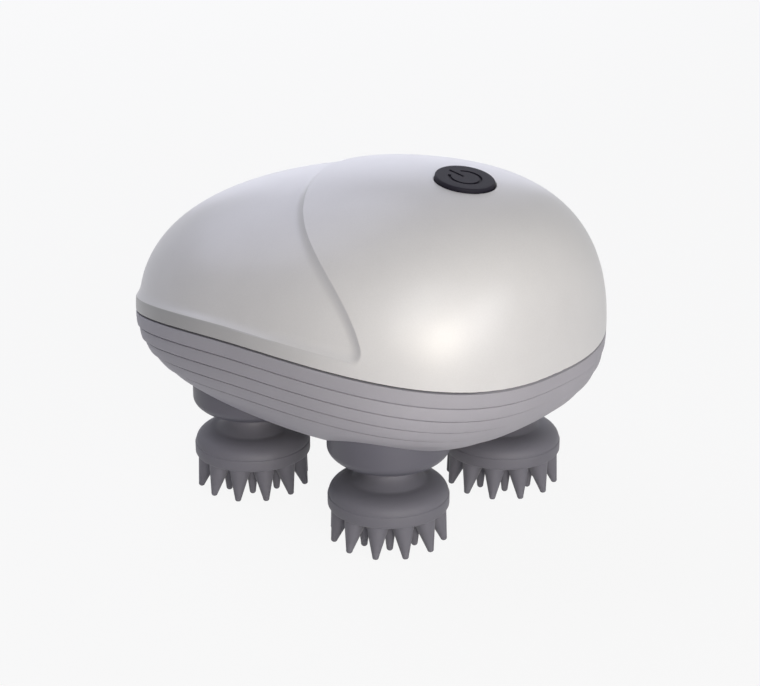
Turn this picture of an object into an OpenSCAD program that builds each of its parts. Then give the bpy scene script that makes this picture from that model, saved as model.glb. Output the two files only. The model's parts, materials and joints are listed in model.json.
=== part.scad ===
// Handheld scalp massager: an egg-shaped two-part casing with a push button on top and four
// turning heads underneath. Millimetres, +Z up, origin on the floor under the middle of the body.
// The wide end of the egg points along +X. "Front" is the wide end, "left" is +Y.

/* [Body] */
// Length of the body, from the narrow tip to the wide tip
body_l = 132; // [126:1:145]
// Width of the body at its widest
body_w = 101; // [97:1:112]
// How much fuller the plan is towards the wide end
egg_taper = 0.031; // [0:0.005:0.06]
// Height of the dome above the seam, at mid-length
dome_h = 34.8; // [33:0.2:40]
// How much the dome leans towards the wide end
dome_lean = 0.2; // [0.1:0.01:0.25]
// Depth of the belly below the seam, before the underside is cut flat
belly_d = 32; // [31:0.5:36]
// How much the belly leans towards the wide end
belly_lean = 0.17; // [0.1:0.01:0.2]
// Height of the flat underside above the floor
under_z = 24; // [23:0.5:26]
// Height of the seam above the floor, at mid-length
seam_z = 52.4; // [51:0.2:56]
// Rise of the seam per millimetre towards the wide end
seam_slope = 0.058; // [0.03:0.002:0.08]
// Radius of the seam's long arch, seen from the side
seam_arch_r = 227; // [200:1:400]
// Thickness of both shells
wall = 2.2; // [1.6:0.1:2.6]
// Gap between the two shells, which the gasket fills
seam_gap = 0.6; // [0.4:0.1:1.2]
// How far the gasket sits back from the outside
gasket_inset = 0.8; // [0.4:0.1:1]
// Width of the gasket
gasket_w = 1.1; // [0.8:0.1:1.2]

/* [Scoop] */
// Depth of the recess over the narrow end
scoop_depth = 1.5; // [0.8:0.1:1.8]
// Width of the soft step round the recess
scoop_run = 3; // [2:0.2:5]
// Place along X where the step crosses the spine
scoop_x = -9; // [-14:1:-4]
// Outline angle of the step at the spine
edge_top_a = 75.7; // [70:0.1:84]
// Outline angle of the step at the seam
edge_side_a = 53.2; // [50:0.2:60]
// How late the step curls forwards on its way down
edge_curl = 3.4; // [2:0.1:4]
// Height of the lip left above the seam
ledge_h = 4.8; // [4:0.2:7]
// Corner radius of the recess
scoop_corner = 4; // [2:0.5:8]

/* [Ribs of the belly] */
// Depth below the seam of the first step
rib_first = 3.7; // [3:0.1:4.5]
// Depth between one step and the next
rib_pitch = 3.8; // [3.2:0.1:4.2]
// Number of steps
rib_count = 4; // [2:1:4]
// How far each step goes in
rib_inset = 0.45; // [0.2:0.05:0.6]

/* [Heads] */
// Distance between the head axes along X
head_pitch_x = 49; // [47:0.5:51]
// Place along X of the middle of the four heads
head_mid_x = 6.6; // [5:0.2:8]
// Radius of a head
head_r = 15.4; // [14:0.2:16]
// Height of the lower edge of the rim, which is the length of the teeth
tooth_l = 8.8; // [7:0.2:10]
// Height of the rim band
rim_h = 3.2; // [2.6:0.1:4.2]
// Rounding of the rim's lower edge
rim_round = 0.6; // [0.3:0.1:0.8]
// Height of the shoulder above the rim band
shoulder_h = 3.8; // [2.4:0.1:4.2]
// Height of the top of the neck above the floor
head_top_z = 19.6; // [19:0.1:19.7]
// Radius of the neck
neck_r = 6.2; // [5.6:0.1:7]
// How far the neck flares out towards the shoulder
neck_flare = 3.4; // [2:0.1:4]
// Teeth in the outer ring
outer_teeth = 12; // [8:1:14]
// Teeth in the inner ring
inner_teeth = 8; // [5:1:9]
// Radius of the inner ring
inner_ring_r = 8.9; // [7.8:0.1:9.4]
// Radius of an outer tooth at its root
outer_root_r = 2.9; // [2.2:0.1:3]
// Radius of an inner tooth at its root
inner_root_r = 1.8; // [1.4:0.1:2]
// Radius of a tooth near its tip
tooth_tip_r = 0.85; // [0.75:0.05:1]
// Radius of the outer ring of tips
tip_ring_r = 14.5; // [13.4:0.1:14.5]
// Turn of the teeth about the head axis
teeth_turn = -1; // [-15:1:15]

/* [Collars] */
// How much wider the collar above each head is than the head, on each side
collar_over = 0.1; // [0:0.1:0.4]
// Height of the collar's lowest face
collar_bottom_z = 20; // [19.9:0.1:20.4]
// Radius of that face
collar_flat_r = 6.4; // [6.2:0.1:7]
// Height at which the dome of the collar meets its straight wall
collar_dome_z = 25.2; // [24.6:0.1:26]
// Wall of the collar
collar_wall = 1.8; // [1.4:0.1:2.2]

/* [Shafts and bushes] */
// Radius of an output shaft
shaft_r = 3; // [2.5:0.1:3.4]
// Depth of the shaft's seat in the head
shaft_grip = 5.6; // [4:0.2:6.4]
// Wall of a bush
bush_wall = 1.5; // [1:0.1:2]
// Height of the lower bush
bush_l = 6; // [4:0.5:7]
// Radial gap between a turning shaft and its bush
run_gap = 0.05; // [0.02:0.01:0.09]
// Radial gap of a pressed or glued seat
seat_gap = 0.02; // [0.01:0.01:0.05]

/* [Gears] */
// Pressure angle
pressure_a = 25; // [22:1:26]
// Module of the sun, the four output gears and the idler's pinion
module_out = 0.8; // [0.8:0.01:0.82]
// Teeth of the sun gear
sun_teeth = 48; // [48:1:49]
// Teeth of each output gear
out_teeth = 36; // [35:1:36]
// Teeth of the idler's small pinion
idler_small_teeth = 12; // [12:1:14]
// Module of the motor pinion and the idler's large gear
module_in = 0.5; // [0.46:0.01:0.52]
// Teeth of the idler's large gear
idler_large_teeth = 60; // [54:1:62]
// Teeth of the motor pinion
motor_teeth = 12; // [12:1:14]
// Face width of the output gears
out_face = 5; // [4:0.5:5.2]
// Face width of the idler's pinion
idler_small_face = 5; // [4.5:0.1:5.2]
// Face width of the idler's large gear
idler_large_face = 3; // [2.4:0.2:3.2]
// Backlash at the pitch circle
backlash = 0.12; // [0.08:0.01:0.2]
// Radius of the sun gear's axle
sun_axle_r = 2; // [1.5:0.1:2.2]
// Radius of the idler's axle
idler_axle_r = 1.5; // [1.2:0.1:1.8]

/* [Gearbox] */
// Height of the underside of the base plate
base_z = 33; // [33:0.1:34]
// Thickness of the base plate
base_t = 1.8; // [1.4:0.1:2]
// Thickness of the upper plate
cover_t = 1.8; // [1.6:0.1:2]
// Thickness of the motor bracket
bracket_t = 2; // [1.6:0.1:2.4]
// Gap between the faces of gears and plates
face_gap = 0.6; // [0.4:0.1:0.8]
// Distance of the side pillars from the middle
side_pillar_y = 30; // [29.5:0.1:31]
// Radius of a pillar
pillar_r = 3; // [2.6:0.1:3.2]

/* [Motor] */
// Radius of the motor can
motor_r = 12.2; // [11:0.1:12.6]
// Length of the motor can
motor_l = 27; // [22:0.5:28]
// Radius of the motor shaft
motor_shaft_r = 1; // [0.75:0.05:1.2]
// Distance of each motor screw from the shaft
motor_screw_y = 8; // [7:0.1:9]

/* [Cell] */
// Radius of the rechargeable cell
cell_r = 9.2; // [8:0.1:9.2]
// Length of the cell
cell_l = 50; // [44:1:52]
// Place of the cell along X
cell_x = -36; // [-37:0.5:-35.5]
// Height of the cell's axis
cell_z = 52.4; // [52.2:0.1:53.5]

/* [Button] */
// Diameter of the push button
button_d = 15; // [12:0.5:16]
// How far the button stands out of the dome
button_proud = 1; // [0.7:0.1:1.6]
// How much more than the dome the button leans towards the wide end
button_lean = 2.5; // [0:0.5:4]
// Place of the button along X
button_x = 35.3; // [33:0.1:36]
// Travel of the button
button_travel = 0.4; // [0.3:0.05:0.5]
// Radial gap round the button
button_gap = 0.2; // [0.1:0.05:0.4]
// Depth of the power sign moulded into the button
sign_depth = 0.4; // [0.2:0.1:0.6]
// Diameter of the power sign
sign_d = 8.6; // [6:0.2:9]
// Width of the sign's line
sign_w = 0.8; // [0.6:0.1:1]

/* [Charging seat] */
// Radius of the round seat for the charging plug
seat_r = 6; // [5:0.1:6.5]
// Depth of the seat
seat_depth = 2.5; // [2:0.1:3]
// Distance of each contact from the middle of the seat
contact_x = 3; // [2.4:0.1:3.6]
// Radius of a contact
contact_r = 0.9; // [0.6:0.1:1.1]

/* [Screws] */
// Shank radius of the casing screws
body_screw_r = 1.3; // [1.1:0.1:1.5]
// Shank radius of the small screws
small_screw_r = 1; // [0.8:0.1:1.1]
// Gap round a screw's shank
screw_gap = 0.05; // [0.03:0.01:0.1]
// Rear casing screws, place along X
rear_screw_x = -52; // [-52.5:0.1:-51]
// Rear casing screws, distance from the middle
rear_screw_y = 9; // [8:0.5:11]
// Front casing screws, place along X
front_screw_x = 52; // [51.5:0.1:53]
// Front casing screws, distance from the middle
front_screw_y = 14; // [12:0.5:16]

/* [Hidden] */
$fn = 48;
narrow_n = 2.19; // squareness of the plan at the narrow end
wide_n = 2.45; // squareness of the plan at the wide end
dome_n = 2.135; // squareness of the dome's cross-section
dome_end_n = 3.49; // squareness of the dome's long section
belly_n = 2.45; // squareness of the belly's cross-section
belly_end_n = 1.95; // squareness of the belly's long section
eps = 0.01;

plain_cols = 15; // mesh columns between the spine and the step, on one side
scoop_cols = 15; // mesh columns over the recess, on one side
dome_rows = 13;
belly_rows = 5;

mid = [head_mid_x, 0];
collar_r = head_r + collar_over;
out_dist = module_out * (sun_teeth + out_teeth) / 2;
head_pitch_y = 2 * sqrt(out_dist * out_dist - head_pitch_x * head_pitch_x / 4);
idler_at = mid + [module_out * (sun_teeth + idler_small_teeth) / 2, 0];
motor_at = idler_at - [module_in * (idler_large_teeth + motor_teeth) / 2, 0];

gear_z = base_z + base_t + face_gap;
cover_z = gear_z + out_face + 2.4;
idler_small_z = gear_z + out_face + face_gap;
idler_large_z = idler_small_z + idler_small_face;
sun_face = idler_large_z - face_gap - gear_z;
bracket_z = idler_large_z + idler_large_face + face_gap;
motor_z = bracket_z + bracket_t;
shaft_bottom_z = head_top_z - shaft_grip;
shaft_top_z = cover_z + cover_t + 1;
bush_r = shaft_r + run_gap + bush_wall;
boss_r = bush_r + 1.6; // the collar's centre boss
seal_h = 2.2;
bush_z = collar_bottom_z + seal_h + 0.8;
board_z = motor_z + 4;
front_pillar_x = idler_at.x + module_out * idler_small_teeth / 2 + pillar_r + 3.6;
rear_pillar_x = mid.x - 30.6;
pillar_at = [
    [mid.x, side_pillar_y],
    [mid.x, -side_pillar_y],
    [front_pillar_x, 0],
    [rear_pillar_x, 0]
];
board_at = [idler_at.x + 6, 0];
board_size = [20, 34];
board_t = 1.6;
board_post_r = 2;
board_post_in = board_post_r + 0.6; // from the board's edge to the middle of a post
head_r2 = small_screw_r + 1; // head radius of a small screw
stand_y = board_size.y / 2 - board_post_in + board_post_r + head_r2 + 0.6;
stand_at = [for (sx = [mid.x - 15, idler_at.x + 13.4], sy = [-1, 1]) [sx, sy * stand_y]];
button_spot = [button_x, 0, seam_at(button_x) + dome_rise(button_x, 0, 0)];
button_tilt = atan2(
    seam_at(button_x - 1) + dome_rise(button_x - 1, 0, 0)
    - seam_at(button_x + 1) - dome_rise(button_x + 1, 0, 0), 2) + button_lean;
cap_depth = 2.4; // how deep the button's cap goes below the dome
pocket_depth = cap_depth + button_travel + 0.5;
pocket_floor = 1.2;
pocket_top = 1.6; // how far below the dome the pocket's own wall ends
stem_r = 2.5;
stem_depth = 6;
switch_depth = stem_depth + 1.5;
switch_h = 3.5;
board2_depth = switch_depth + switch_h;
board2_post_y = 8.4;
plunger_r = 1.7;

// ---------- the egg ----------

function end_ease(c, n) = pow(max(1 - pow(abs(c), n), 0), 1 / n);
function plan_n(c) = c < 0 ? narrow_n : wide_n;
function seam_at(x) = seam_z + seam_slope * x - x * x / (2 * seam_arch_r);
function half_l(t) = body_l / 2 - t;
function half_w(c, t) = (body_w / 2 - t) * end_ease(c, plan_n(c)) * (1 + egg_taper * c);
function clamp01(v) = min(max(v, 0), 1);
function smooth01(v) = let (s = clamp01(v)) s * s * (3 - 2 * s);

// Point of the plan outline at angle a, for a surface t inside the outside one
function outline(a, t) =
    let (
        n = plan_n(cos(a)),
        r = pow(pow(abs(cos(a)), n) + pow(abs(sin(a)), n), -1 / n),
        c = r * cos(a)
    )
    [half_l(t) * c, (body_w / 2 - t) * r * sin(a) * (1 + egg_taper * c)];

// Height of the dome above the seam over a plan point
function dome_rise(x, y, t) =
    let (
        c = x / half_l(t),
        h = (dome_h - t) * end_ease(c, dome_end_n) * (1 + dome_lean * c),
        w = max(half_w(c, t), eps)
    )
    h * pow(max(1 - pow(abs(y) / w, dome_n), 0), 1 / dome_n);

// Depth of the belly below the seam over a plan point
function belly_fall(x, y, t) =
    let (
        c = x / half_l(t),
        h = (belly_d - t) * end_ease(c, belly_end_n) * (1 + belly_lean * c),
        w = max(half_w(c, t), eps)
    )
    h * pow(max(1 - pow(abs(y) / w, belly_n), 0), 1 / belly_n);

// Plan point a share rho of the way from the scoop's crossing of the spine to the outline
function plan_pt(a, rho, t) = [scoop_x, 0] + rho * (outline(a, t) - [scoop_x, 0]);
function edge_a(rho) = edge_top_a - (edge_top_a - edge_side_a) * pow(rho, edge_curl);

// Distance from the step of the recess, rounded where the step meets the lip
function scoop_reach(a, rho, rise, t) =
    let (
        e = edge_a(rho),
        s1 = abs(a) > e ? norm(plan_pt(abs(a), rho, t) - plan_pt(e, rho, t)) : 0,
        s2 = max(rise - ledge_h, 0),
        r = scoop_corner
    )
    s1 < r && s2 < r ? max(r - norm([r - s1, r - s2]), 0) : min(s1, s2);

function dome_pt(a, rho, t) =
    let (
        p = plan_pt(a, rho, t),
        rise = dome_rise(p.x, p.y, t),
        n = [p.x / pow(half_l(t), 2), p.y / pow(body_w / 2, 2), rise / pow(dome_h, 2)],
        deep = scoop_depth * smooth01(scoop_reach(a, rho, rise, t) / scoop_run),
        q = [p.x, p.y, rise] - deep * n / max(norm(n), 1e-6)
    )
    [q.x, q.y, seam_at(q.x) + seam_gap / 2 + q.z];

// Share rho at which the dome over outline angle a is as high as rise
function rho_at(a, rise, t, lo = 0.3, hi = 1, k = 22) =
    k == 0 ? (lo + hi) / 2
    : let (m = (lo + hi) / 2, p = plan_pt(a, m, t))
      dome_rise(p.x, p.y, t) > rise ? rho_at(a, rise, t, m, hi, k - 1)
      : rho_at(a, rise, t, lo, m, k - 1);

// Outline angles of the mesh columns on one side, with one column on the step itself
function side_cols(rho) =
    let (e = edge_a(rho), step = min(scoop_run * 1.2 / max(rho, 0.12), 24))
    concat(
        [for (k = [0:plain_cols - 1]) e * k / plain_cols],
        [for (k = [0:2]) e + step * k / 2],
        [for (k = [1:scoop_cols]) e + step + (180 - e - step) * k / scoop_cols]
    );
function round_cols(rho) =
    let (s = side_cols(rho), m = len(s))
    concat(s, [for (k = [m - 2:-1:1]) -s[k]]);

function dome_ring(rho, t) = [for (a = round_cols(rho)) dome_pt(a, rho, t)];
function level_ring(rise, t) = [for (a = round_cols(1)) dome_pt(a, rho_at(a, rise, t), t)];

// Share of the outline at which the belly over angle a is as deep as the surface asked for.
// blend 0 lies depth below the seam; blend 1 lies on the level flat_z.
function belly_target(x, depth, blend, flat_z) =
    (1 - blend) * depth + blend * (seam_at(x) - seam_gap / 2 - flat_z);
function belly_rho(a, depth, blend, flat_z, t, lo = 0, hi = 1, k = 22) =
    k == 0 ? (lo + hi) / 2
    : let (m = (lo + hi) / 2, p = m * outline(a, t))
      belly_fall(p.x, p.y, t) > belly_target(p.x, depth, blend, flat_z)
      ? belly_rho(a, depth, blend, flat_z, t, m, hi, k - 1)
      : belly_rho(a, depth, blend, flat_z, t, lo, m, k - 1);
function belly_ring(depth, blend, flat_z, t, inset) = [
    for (a = round_cols(1))
        let (
            o = outline(a, t),
            p = o * (belly_rho(a, depth, blend, flat_z, t) - inset / norm(o))
        )
        [p.x, p.y, seam_at(p.x) - seam_gap / 2 - belly_target(p.x, depth, blend, flat_z)]
];

// Closed skin over rings that run anticlockwise seen from above, from one pole to the other
module ring_skin(first, rings, last) {
    n = len(rings[0]);
    m = len(rings);
    points = concat([first], [for (r = rings) each r], [last]);
    faces = concat(
        [for (j = [0:n - 1]) [0, 1 + (j + 1) % n, 1 + j]],
        [for (i = [0:m - 2], j = [0:n - 1]) each
            let (a = 1 + i * n + j, b = 1 + i * n + (j + 1) % n)
            [[a, b, a + n], [b, b + n, a + n]]],
        [for (j = [0:n - 1]) [n * m + 1, 1 + (m - 1) * n + j, 1 + (m - 1) * n + (j + 1) % n]]
    );
    polyhedron(points = points, faces = faces);
}

// ---------- shared shapes ----------

module at_head(i) {
    sx = i == 0 || i == 1 ? 1 : -1;
    sy = i == 0 || i == 2 ? -1 : 1;
    translate([mid.x + sx * head_pitch_x / 2, sy * head_pitch_y / 2, 0]) children();
}
function head_dir(i) = let (
    sx = i == 0 || i == 1 ? 1 : -1,
    sy = i == 0 || i == 2 ? -1 : 1
) atan2(sy * head_pitch_y, sx * head_pitch_x);

module at_button() translate(button_spot) rotate([0, button_tilt, 0]) children();

module tube(r, bore, z, h) translate([0, 0, z]) difference() {
    cylinder(r = r, h = h);
    translate([0, 0, -1]) cylinder(r = bore, h = h + 2);
}

module rod(r, z, h) translate([0, 0, z]) cylinder(r = r, h = h);

// Pan-head screw along -Z, with the underside of its head at z = 0 and a cross recess
module screw(r, l, head_r, head_h) difference() {
    union() {
        translate([0, 0, -l]) cylinder(r = r, h = l + eps);
        cylinder(r1 = head_r, r2 = head_r * 0.8, h = head_h);
    }
    for (a = [0, 90]) rotate(a) translate([-head_r * 0.55, -0.2, head_h * 0.45])
        cube([head_r * 1.1, 0.4, head_h]);
}

// Involute spur gear outline. Angles are in degrees; a tooth is centred on +X.
function involute(r, rb) = let (t = sqrt(max(r * r / (rb * rb) - 1, 0))) t * 180 / PI - atan(t);
function gear_half_a(r, rp, rb, z) =
    90 / z - backlash / 4 / rp * 180 / PI + involute(rp, rb) - involute(max(r, rb), rb);
function gear_outline(z, m) =
    let (
        rp = m * z / 2,
        rb = rp * cos(pressure_a),
        tip = rp + 0.9 * m,
        root = rp - 1.2 * m,
        low = max(rb, root + 0.05 * m),
        steps = [for (k = [0:4]) low + (tip - low) * k / 4]
    )
    [for (i = [0:z - 1])
        let (mid_a = i * 360 / z)
        each concat(
            [root * dir2(mid_a - gear_half_a(low, rp, rb, z))],
            [for (r = steps) r * dir2(mid_a - gear_half_a(r, rp, rb, z))],
            [for (k = [4:-1:0]) steps[k] * dir2(mid_a + gear_half_a(steps[k], rp, rb, z))],
            [root * dir2(mid_a + gear_half_a(low, rp, rb, z))]
        )];
function dir2(a) = [cos(a), sin(a)];

module spur(z, m, h) linear_extrude(height = h) polygon(gear_outline(z, m));

// Turn that puts a gear in mesh with one of z1 teeth turned by a1, in direction d from it
function mesh_turn(d, a1, z1, z2) = d + 180 + (d - a1) * z1 / z2 + 180 / z2;

// ---------- casing ----------

module top_shell() color("#E4E4E8") difference() {
    union() {
        ring_skin(
            [scoop_x, 0, seam_at(scoop_x) + seam_gap / 2 + dome_rise(scoop_x, 0, 0)],
            concat(
                [for (j = [dome_rows - 1:-1:1]) dome_ring(0.975 * cos(90 * j / dome_rows), 0)],
                [level_ring(ledge_h + 1.2, 0), level_ring(ledge_h - 0.2, 0), level_ring(1.6, 0)],
                [dome_ring(1, 0), dome_ring(1, wall)],
                [for (j = [1:5]) dome_ring(cos(90 * j / 6), wall)]
            ),
            [scoop_x, 0, seam_at(scoop_x) + seam_gap / 2 + dome_rise(scoop_x, 0, wall)]
        );
        at_button() {
            rod(button_d / 2 + button_gap + 2, -pocket_depth - pocket_floor,
                pocket_depth + pocket_floor - pocket_top);
            for (s = [-1, 1]) translate([0, s * board2_post_y, 0])
                rod(2, -board2_depth, board2_depth - 3);
        }
        casing_posts();
    }
    at_button() {
        rod(button_d / 2 + button_gap, -pocket_depth, pocket_depth + 5);
        rod(stem_r + run_gap, -pocket_depth - pocket_floor - 1, pocket_floor + 2);
        for (s = [-1, 1]) translate([0, s * board2_post_y, 0])
            rod(small_screw_r + screw_gap, -board2_depth - 1, 5);
    }
    for (p = casing_screw_at) translate([p.x, p.y, casing_screw_z(p) - eps])
        cylinder(r = body_screw_r + screw_gap, h = casing_screw_l);
}

casing_screw_at = [
    for (sy = [-1, 1]) each [[rear_screw_x, sy * rear_screw_y], [front_screw_x, sy * front_screw_y]]
];
casing_screw_l = 20;
casing_head_r = body_screw_r + 1.3;
casing_post_r = casing_head_r + 1.5;
// Height of the underside of a casing screw's head, in the deep counterbore of its post
function casing_screw_z(p) = seam_at(p.x) - 12;

module casing_posts() for (p = casing_screw_at) {
    foot = seam_at(p.x) + 1.5;
    far = p * (1 + casing_post_r / norm(p));
    crown = seam_at(far.x) + dome_rise(far.x, far.y, wall / 2) - (p.x < 0 ? scoop_depth : 0);
    translate([p.x, p.y, foot]) cylinder(r = casing_post_r, h = crown - foot);
}

module bottom_shell() color("#B4B2BC") difference() {
    union() {
        ring_skin(
            [0, 0, under_z + wall],
            concat(
                [belly_ring(rib_first + rib_pitch * 3, 1, under_z + wall, wall, 10)],
                [for (j = [belly_rows:-1:1])
                    belly_ring(rib_first + rib_pitch * 3, j / belly_rows, under_z + wall, wall, 0)],
                [for (d = [rib_first + rib_pitch * 3, 10, 6, 3]) belly_ring(d, 0, 0, wall, 0)],
                [belly_ring(0, 0, 0, wall, 0), belly_ring(0, 0, 0, 0, 0)],
                [for (j = [0:rib_count - 1]) each [
                    belly_ring(rib_first + rib_pitch * j, 0, 0, 0, 0),
                    belly_ring(rib_first + rib_pitch * j + 0.25, 0, 0, 0, rib_inset)]],
                [for (j = [1:belly_rows]) belly_ring(
                    rib_first + rib_pitch * (rib_count - 1) + 0.25, j / belly_rows, under_z, 0,
                    rib_inset * (1 - j / belly_rows))]
            ),
            [0, 0, under_z]
        );
        for (p = pillar_at) translate([p.x, p.y, floor_at(p)])
            cylinder(r = pillar_r, h = base_z - floor_at(p));
        for (p = casing_screw_at) translate([p.x, p.y, floor_at(p)])
            cylinder(r = casing_post_r, h = seam_at(p.x) + 1.4 - floor_at(p));
    }
    for (i = [0:3]) at_head(i) rod(collar_r + seat_gap, 0, base_z + 3);
    for (p = pillar_at) translate([p.x, p.y, base_z - gearbox_bite])
        cylinder(r = small_screw_r + screw_gap, h = gearbox_bite + 1);
    for (p = casing_screw_at) translate([p.x, p.y, 0]) {
        cylinder(r = body_screw_r + screw_gap, h = 60);
        cylinder(r = casing_head_r + 0.2, h = casing_screw_z(p));
    }
    translate([mid.x, 0, 0]) cylinder(r = seat_r + 2 + seat_gap, h = 30);
}

// Height just inside the wall of the belly over a plan point
function floor_at(p) = max(
    under_z + wall / 2,
    seam_at(p.x) - belly_fall(p.x, p.y, wall / 2) + 0.4);
gearbox_bite = 5; // length of the gearbox screws in the casing

module seam_gasket() color("#3C3A44") {
    n = len(round_cols(1));
    lip = 0.02;
    loops = [
        for (k = [[0, 1], [1, 1], [1, -1], [0, -1]])
            [for (a = round_cols(1))
                let (p = outline(a, gasket_inset + k[0] * gasket_w))
                [p.x, p.y, seam_at(p.x) + k[1] * (seam_gap / 2 - lip)]]
    ];
    polyhedron(
        points = [for (l = loops) each l],
        faces = [for (i = [0:3], j = [0:n - 1]) each
            let (
                a = i * n + j,
                b = i * n + (j + 1) % n,
                c = ((i + 1) % 4) * n + j,
                d = ((i + 1) % 4) * n + (j + 1) % n
            )
            [[a, c, b], [b, c, d]]]
    );
}

// ---------- button ----------

module power_sign(h) {
    difference() {
        cylinder(r = sign_d / 2, h = h);
        translate([0, 0, -1]) cylinder(r = sign_d / 2 - sign_w, h = h + 2);
        translate([-sign_d, -sign_w * 1.6, -1]) cube([sign_d, sign_w * 3.2, h + 2]);
    }
    translate([-sign_d / 2 - 0.6, -sign_w / 2, 0]) cube([sign_d / 2 + 0.4, sign_w, h]);
}

module power_button() color("#46444E") at_button() difference() {
    union() {
        translate([0, 0, -cap_depth])
            cylinder(r = button_d / 2, h = cap_depth + button_proud - 0.5);
        translate([0, 0, button_proud - 0.5])
            cylinder(r1 = button_d / 2, r2 = button_d / 2 - 0.5, h = 0.5);
        rod(stem_r, -stem_depth, stem_depth - cap_depth + eps);
    }
    translate([0, 0, button_proud - sign_depth]) power_sign(sign_depth + 1);
}

module switch_plunger() color("#8A2A2A") at_button()
    rod(plunger_r, -switch_depth - 1.2, switch_depth - stem_depth + 1.2);

module tact_switch() color("#2A2A2E") at_button() difference() {
    translate([-3, -3, -board2_depth]) cube([6, 6, switch_h]);
    rod(plunger_r + run_gap, -switch_depth - 1.2 - button_travel - 0.3, 5);
}

module button_board() color("#2E7D4F") at_button() difference() {
    translate([-6, -board2_post_y - 2.6, -board2_depth - 1.2])
        cube([12, 2 * board2_post_y + 5.2, 1.2]);
    for (s = [-1, 1]) translate([0, s * board2_post_y, 0])
        rod(small_screw_r + screw_gap, -board2_depth - 2, 3);
}

module button_board_screws() color("silver") at_button()
    for (s = [-1, 1]) translate([0, s * board2_post_y, -board2_depth - 1.2])
        rotate([180, 0, 0]) screw(small_screw_r, 4.4, head_r2, 1);

// ---------- heads ----------

tip_trim = 0.15; // how much of each tip the flat standing face takes off
root_bite = 1.4; // how far a tooth goes into the head

// One tooth, from inside the head down to a rounded tip that just passes the floor
module tooth(root_r) rotate_extrude($fn = 24) polygon(concat(
    [[0, -tip_trim]],
    [for (a = [-60:30:0]) [tooth_tip_r * cos(a), tooth_tip_r * (1 + sin(a)) - tip_trim]],
    [[root_r, tooth_l], [root_r, tooth_l + root_bite], [0, tooth_l + root_bite]]
));

module massage_head(i) color("#5A5A64") at_head(i) rotate(teeth_turn) difference() {
    rim_top = tooth_l + rim_h;
    shoulder_r = neck_r + neck_flare;
    neck_h = head_top_z - rim_top - shoulder_h;
    lean = atan2(tip_ring_r + outer_root_r - head_r + rim_round, tooth_l);
    union() {
        rotate_extrude() polygon(concat(
            [[0, tooth_l], [head_r - rim_round, tooth_l], [head_r, tooth_l + rim_round]],
            [for (a = [0:15:75])
                [shoulder_r + (head_r - shoulder_r) * cos(a), rim_top + shoulder_h * sin(a)]],
            [for (k = [0:6])
                [neck_r + neck_flare * pow(1 - k / 6, 2.2), head_top_z - neck_h * (1 - k / 6)]],
            [[0, head_top_z]]
        ));
        for (k = [0:outer_teeth - 1]) rotate(k * 360 / outer_teeth)
            translate([tip_ring_r, 0, 0]) rotate([0, -lean, 0]) tooth(outer_root_r);
        for (k = [0:inner_teeth - 1]) rotate(k * 360 / inner_teeth)
            translate([inner_ring_r, 0, 0]) tooth(inner_root_r);
        tooth(inner_root_r);
    }
    rod(shaft_r + seat_gap, shaft_bottom_z, shaft_grip + 1);
    translate([-30, -30, -10]) cube([60, 60, 10]);
}
module massage_head_front_right() massage_head(0);
module massage_head_front_left() massage_head(1);
module massage_head_rear_right() massage_head(2);
module massage_head_rear_left() massage_head(3);

// Depth of the dome at the axis, so that it runs through the edge of the flat face
collar_dome_h = (collar_dome_z - collar_bottom_z) / sqrt(1 - pow(collar_flat_r / collar_r, 2));

// Points of the collar's dome, as a quarter ellipse of radius r and height h
function collar_dome(r, h, flat) = [
    for (a = [-90:10:0]) if (r * cos(a) > flat + eps) [r * cos(a), collar_dome_z + h * sin(a)]
];

module collar(i) color("#50505A") at_head(i) difference() {
    inside = collar_dome(collar_r - collar_wall, collar_dome_h - collar_wall, boss_r);
    rotate_extrude($fn = 72) polygon(concat(
        [[0, collar_bottom_z], [collar_flat_r, collar_bottom_z]],
        collar_dome(collar_r, collar_dome_h, collar_flat_r),
        [[collar_r, base_z], [collar_r - collar_wall, base_z]],
        [for (k = [len(inside) - 1:-1:0]) inside[k]],
        [[boss_r, inside[0].y], [boss_r, bush_z + bush_l], [0, bush_z + bush_l]]
    ));
    rod(bush_r + seat_gap, bush_z, 20);
    rod(shaft_r + 0.6, 0, 40);
    rod(bush_r + 0.8, 0, collar_bottom_z + seal_h);
}
module collar_front_right() collar(0);
module collar_front_left() collar(1);
module collar_rear_right() collar(2);
module collar_rear_left() collar(3);

module shaft(i) color("#B8BCC2") at_head(i) rod(shaft_r, shaft_bottom_z, shaft_top_z - shaft_bottom_z);
module shaft_front_right() shaft(0);
module shaft_front_left() shaft(1);
module shaft_rear_right() shaft(2);
module shaft_rear_left() shaft(3);

module shaft_seals() color("#202024") for (i = [0:3]) at_head(i)
    tube(bush_r + 0.8 - seat_gap, shaft_r + run_gap, collar_bottom_z + 0.3, seal_h - 0.3);

module lower_bushes() color("#B08D57") for (i = [0:3]) at_head(i)
    tube(bush_r, shaft_r + run_gap, bush_z, bush_l);

module upper_bushes() color("#B08D57") for (i = [0:3]) at_head(i)
    tube(bush_r, shaft_r + run_gap, cover_z, cover_t);

// ---------- gear train ----------

module out_gear(i) color("#E8E4D8") at_head(i) difference() {
    rotate(mesh_turn(head_dir(i), 0, sun_teeth, out_teeth)) translate([0, 0, gear_z]) union() {
        spur(out_teeth, module_out, out_face);
        cylinder(r = bush_r, h = cover_z - gear_z - face_gap);
    }
    rod(shaft_r + seat_gap, 0, 60);
}
module gear_front_right() out_gear(0);
module gear_front_left() out_gear(1);
module gear_rear_right() out_gear(2);
module gear_rear_left() out_gear(3);

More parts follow.
